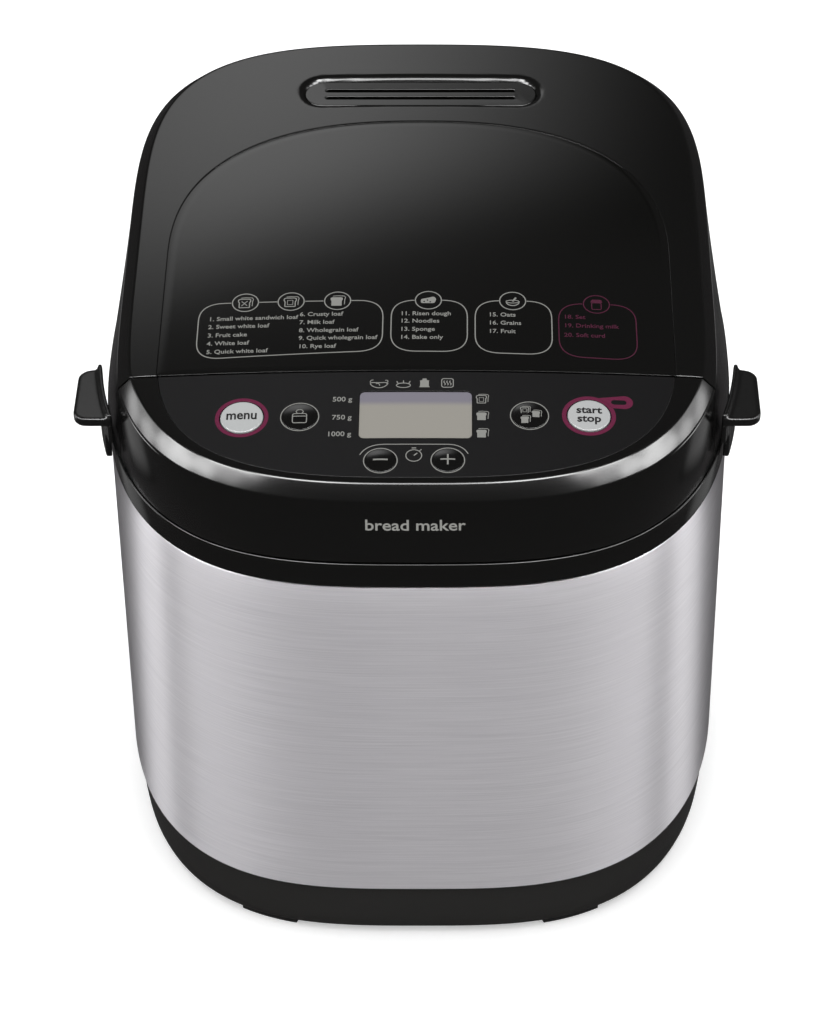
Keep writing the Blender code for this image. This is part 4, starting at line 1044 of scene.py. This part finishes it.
for x, y, filling in ((-0.0020, 0.0025, "middle"), (0.0026, 0.0003, "full"), (-0.0020, -0.0030, "full")):
    slices += loaf_icon(x, y, 0.0034, filling, 0.0003)
print_on_cap("menu", [words("menu", 0.0, -0.0016, 0.0072, 0.80, BOLD, "CENTER")], dark_ink)
print_on_cap("start_stop", start_words, dark_ink)
print_on_cap("weight", weight_lines, pale_ink)
print_on_cap("minus", [stroke([(-0.0030, 0.0), (0.0030, 0.0)], 0.0008)], pale_ink)
print_on_cap("plus", plus_bars, pale_ink)
print_on_cap("crust", slices, pale_ink)
print("caps printed")

# %% Fascia lettering
letters = words("bread maker", 0.0, 0.2357, 0.0078, 1.02, 0.00010, "CENTER")
for v in letters.vertices:
    found, place, _, _ = head.ray_cast(Vector((v.co.x, -0.4, v.co.y)), Vector((0.0, 1.0, 0.0)))
    v.co = (v.co.x, place.y - 0.00002 - v.co.z, v.co.y)
lettering = dress(finish_mesh("fascia_lettering", letters, sharp=12), pale_ink, "case", "gloss_black")
print(lettering.name, round(lettering.dimensions.x * 1000, 1), "mm wide")

# %% [markdown]
# ## Collar, base and feet
#
# The collar is the black ring that clips over the sleeve and carries the lugs. The base is a tray in dark
# grey polypropylene with a fine etched grain; its wall leans inwards, so from above it nearly hides its
# feet.

# %% Collar and deck
PROUD, MOUTH_Y, MOUTH_POWERS = 0.0004, 0.030, (8, 8)
profile = [(0.0060, COLLAR_BOTTOM), (-0.0001, COLLAR_BOTTOM), (-PROUD, COLLAR_BOTTOM + 0.0003)]
profile += [(i - PROUD, z) for i, z in rounded(0.0, COLLAR_TOP - 0.0006, 0.0006, 0)]
profile += [(0.0022, COLLAR_TOP), (0.0026, COLLAR_TOP - 0.0004), (0.0028, 0.2130), (0.0034, 0.2125)]
rows = [body_ring(i, z) for i, z in profile]
for half_x, half_y, z in (
    (0.0937, 0.0737, 0.2125), (0.0931, 0.0731, 0.2123), (0.0929, 0.0729, 0.2117), (0.0929, 0.0729, 0.2100),
):
    rows.append(at_height(oval(half_x, half_y, MOUTH_POWERS, 240, (0.0, MOUTH_Y)), z))
collar = dress(skin("collar_and_deck", rows), gloss_black, "case", "satin_black", "top_deck")
print(collar.name, len(collar.data.polygons))

# %% Base tray and feet
def corner_pad(across, along, inset, steps=16):
    """Plan points of a foot, which follows the base round one corner."""
    turn = np.radians(np.linspace(62.5, 75.0, steps))
    points = []
    for edge, way in ((0.0055 + inset, 1), (0.0190 - inset, -1)):
        x = (HALF_WIDTH - edge) * np.cos(turn) ** (2 / PLAN_POWERS[0])
        y = (HALF_DEPTH - edge) * np.sin(turn) ** (2 / PLAN_POWERS[1])
        points.append(np.stack([across * x, along * y], axis=1)[::way])
    return np.vstack(points)


base_plastic = moulded("etched_grey_polypropylene", "#1e1d1b", 0.46, grain_mm=0.5, grain=0.3, ior=1.49)
profile = [(0.0030, 0.0307), (0.0017, 0.0307), (0.0014, 0.0304), (0.0019, 0.0200), (0.0026, 0.0115)]
profile += [(0.0032, 0.0060), (0.0036, 0.0048), (0.0042, 0.0040), (0.0052, 0.0036), (0.0080, 0.0035)]
rows = [body_ring(i, z) for i, z in profile]
base = dress(skin("base_tray", rows, cap_end=True), base_plastic, "case", "base_grey", "base_housing")
rubber = moulded("black_rubber", "#141413", 0.75, grain_mm=0.4, grain=0.2, ior=1.52)
PAD = ((0.0008, 0.0), (0.0002, 0.0004), (0.0, 0.0010), (0.0, 0.0031))
FEET = (("rear_left", -1, 1), ("rear_right", 1, 1), ("front_left", -1, -1), ("front_right", 1, -1))
for name, across, along in FEET:
    rows = [at_height(corner_pad(across, along, inset), z) for inset, z in PAD]
    foot = skin("foot_pad_" + name, rows, cap_start=True, cap_end=True)
    dress(foot, rubber, "case", "rubber", "foot_" + name)
print(base.name, "and 4 feet")

# %% [markdown]
# ## Carrying lugs
#
# Each lug is a flat tab on a rib that hugs the head, with a small boss below it. On the real moulding they
# flow into each other. The three shapes are joined, turned into one even mesh with the Remesh modifier, and
# smoothed, which gives the fillets of a moulded piece.

# %% Carrying lugs
def side_x(y, offset=0.0):
    """How far out the body's side is at a given y."""
    half_y = HALF_DEPTH + offset
    return (HALF_WIDTH + offset) * (1 - abs(y / half_y) ** PLAN_POWERS[1]) ** (1 / PLAN_POWERS[0])


def hugging(front, rear, inner, outer, steps=16):
    """Plan points of a strip that follows the body's side."""
    ys = np.linspace(front, rear, steps)
    return [(side_x(y, inner), y) for y in ys] + [(side_x(y, outer), y) for y in ys[::-1]]


def make_lug(name, side):
    front, rear, reach, corner = -0.0767, -0.0412, 0.1451, 0.0064
    inner = [(side_x(y, 0.0014), y) for y in np.linspace(front, rear, 10)]
    turns = np.linspace(0, pi / 2, 9)
    outer = [(reach - corner + corner * sin(t), rear - corner + corner * cos(t)) for t in turns]
    outer += [(reach - corner + corner * cos(t), front + corner - corner * sin(t)) for t in turns]
    shapes = [(inner + outer, 0.2339, 0.2380)]
    shapes += [(hugging(front + 0.001, rear + 0.002, 0.0014, 0.0034), 0.2240, 0.2395)]
    shapes += [(hugging(-0.0700, -0.0500, 0.0014, 0.0040), 0.2125, 0.2330)]
    parts = [solid("part", [(side * x, y) for x, y in plan], low, high) for plan, low, high in shapes]
    lug = merged(name, parts)
    even = lug.modifiers.new("even", "REMESH")
    even.mode, even.voxel_size = "VOXEL", 0.0006
    soft = lug.modifiers.new("soft", "SMOOTH")
    soft.factor, soft.iterations = 0.5, 9
    apply_modifiers(lug)
    lug.data.shade_smooth()
    return lug


lug_black = moulded("satin_black_abs", "#0d0d0c", 0.27, grain_mm=0.4, grain=0.08)
for name, side in (("left", -1), ("right", 1)):
    lug = dress(make_lug("lug_" + name, side), lug_black, "case", "satin_black", "handle_" + name)
print("lugs", len(lug.data.polygons))

# %% Finishes of the pieces that keep their CAD shape
oven_steel, _, _ = new_material("rolled_steel_sheet", Base_Color=linear("#b9b9b7"), Metallic=1.0, Roughness=0.38)
non_stick = moulded("non_stick_coating", "#26262a", 0.42, grain_mm=0.6, grain=0.15)
bronze, _, _ = new_material("sintered_bronze", Base_Color=linear("#a8814f"), Metallic=1.0, Roughness=0.42)
iron, _, _ = new_material("machined_iron", Base_Color=linear("#84848a"), Metallic=1.0, Roughness=0.45)
board_green = moulded("circuit_board", "#1d5a34", 0.40)
by_slot = {
    "gloss_black": gloss_black, "satin_black": lug_black, "base_grey": base_plastic, "brushed_steel": steel,
    "oven_steel": oven_steel, "button_white": white_cap, "lcd_window": lcd, "lcd_grey": lcd,
    "non_stick": non_stick, "rubber": rubber, "bronze": bronze, "board_green": board_green,
    "motor_iron": iron,
}
for part in frame["record"]["subparts"]:
    node = frame["nodes"][part["node"]]
    node.data.materials.clear()
    node.data.materials.append(by_slot[part["material_slot"]])
print(len(frame["nodes"]), "CAD nodes dressed")
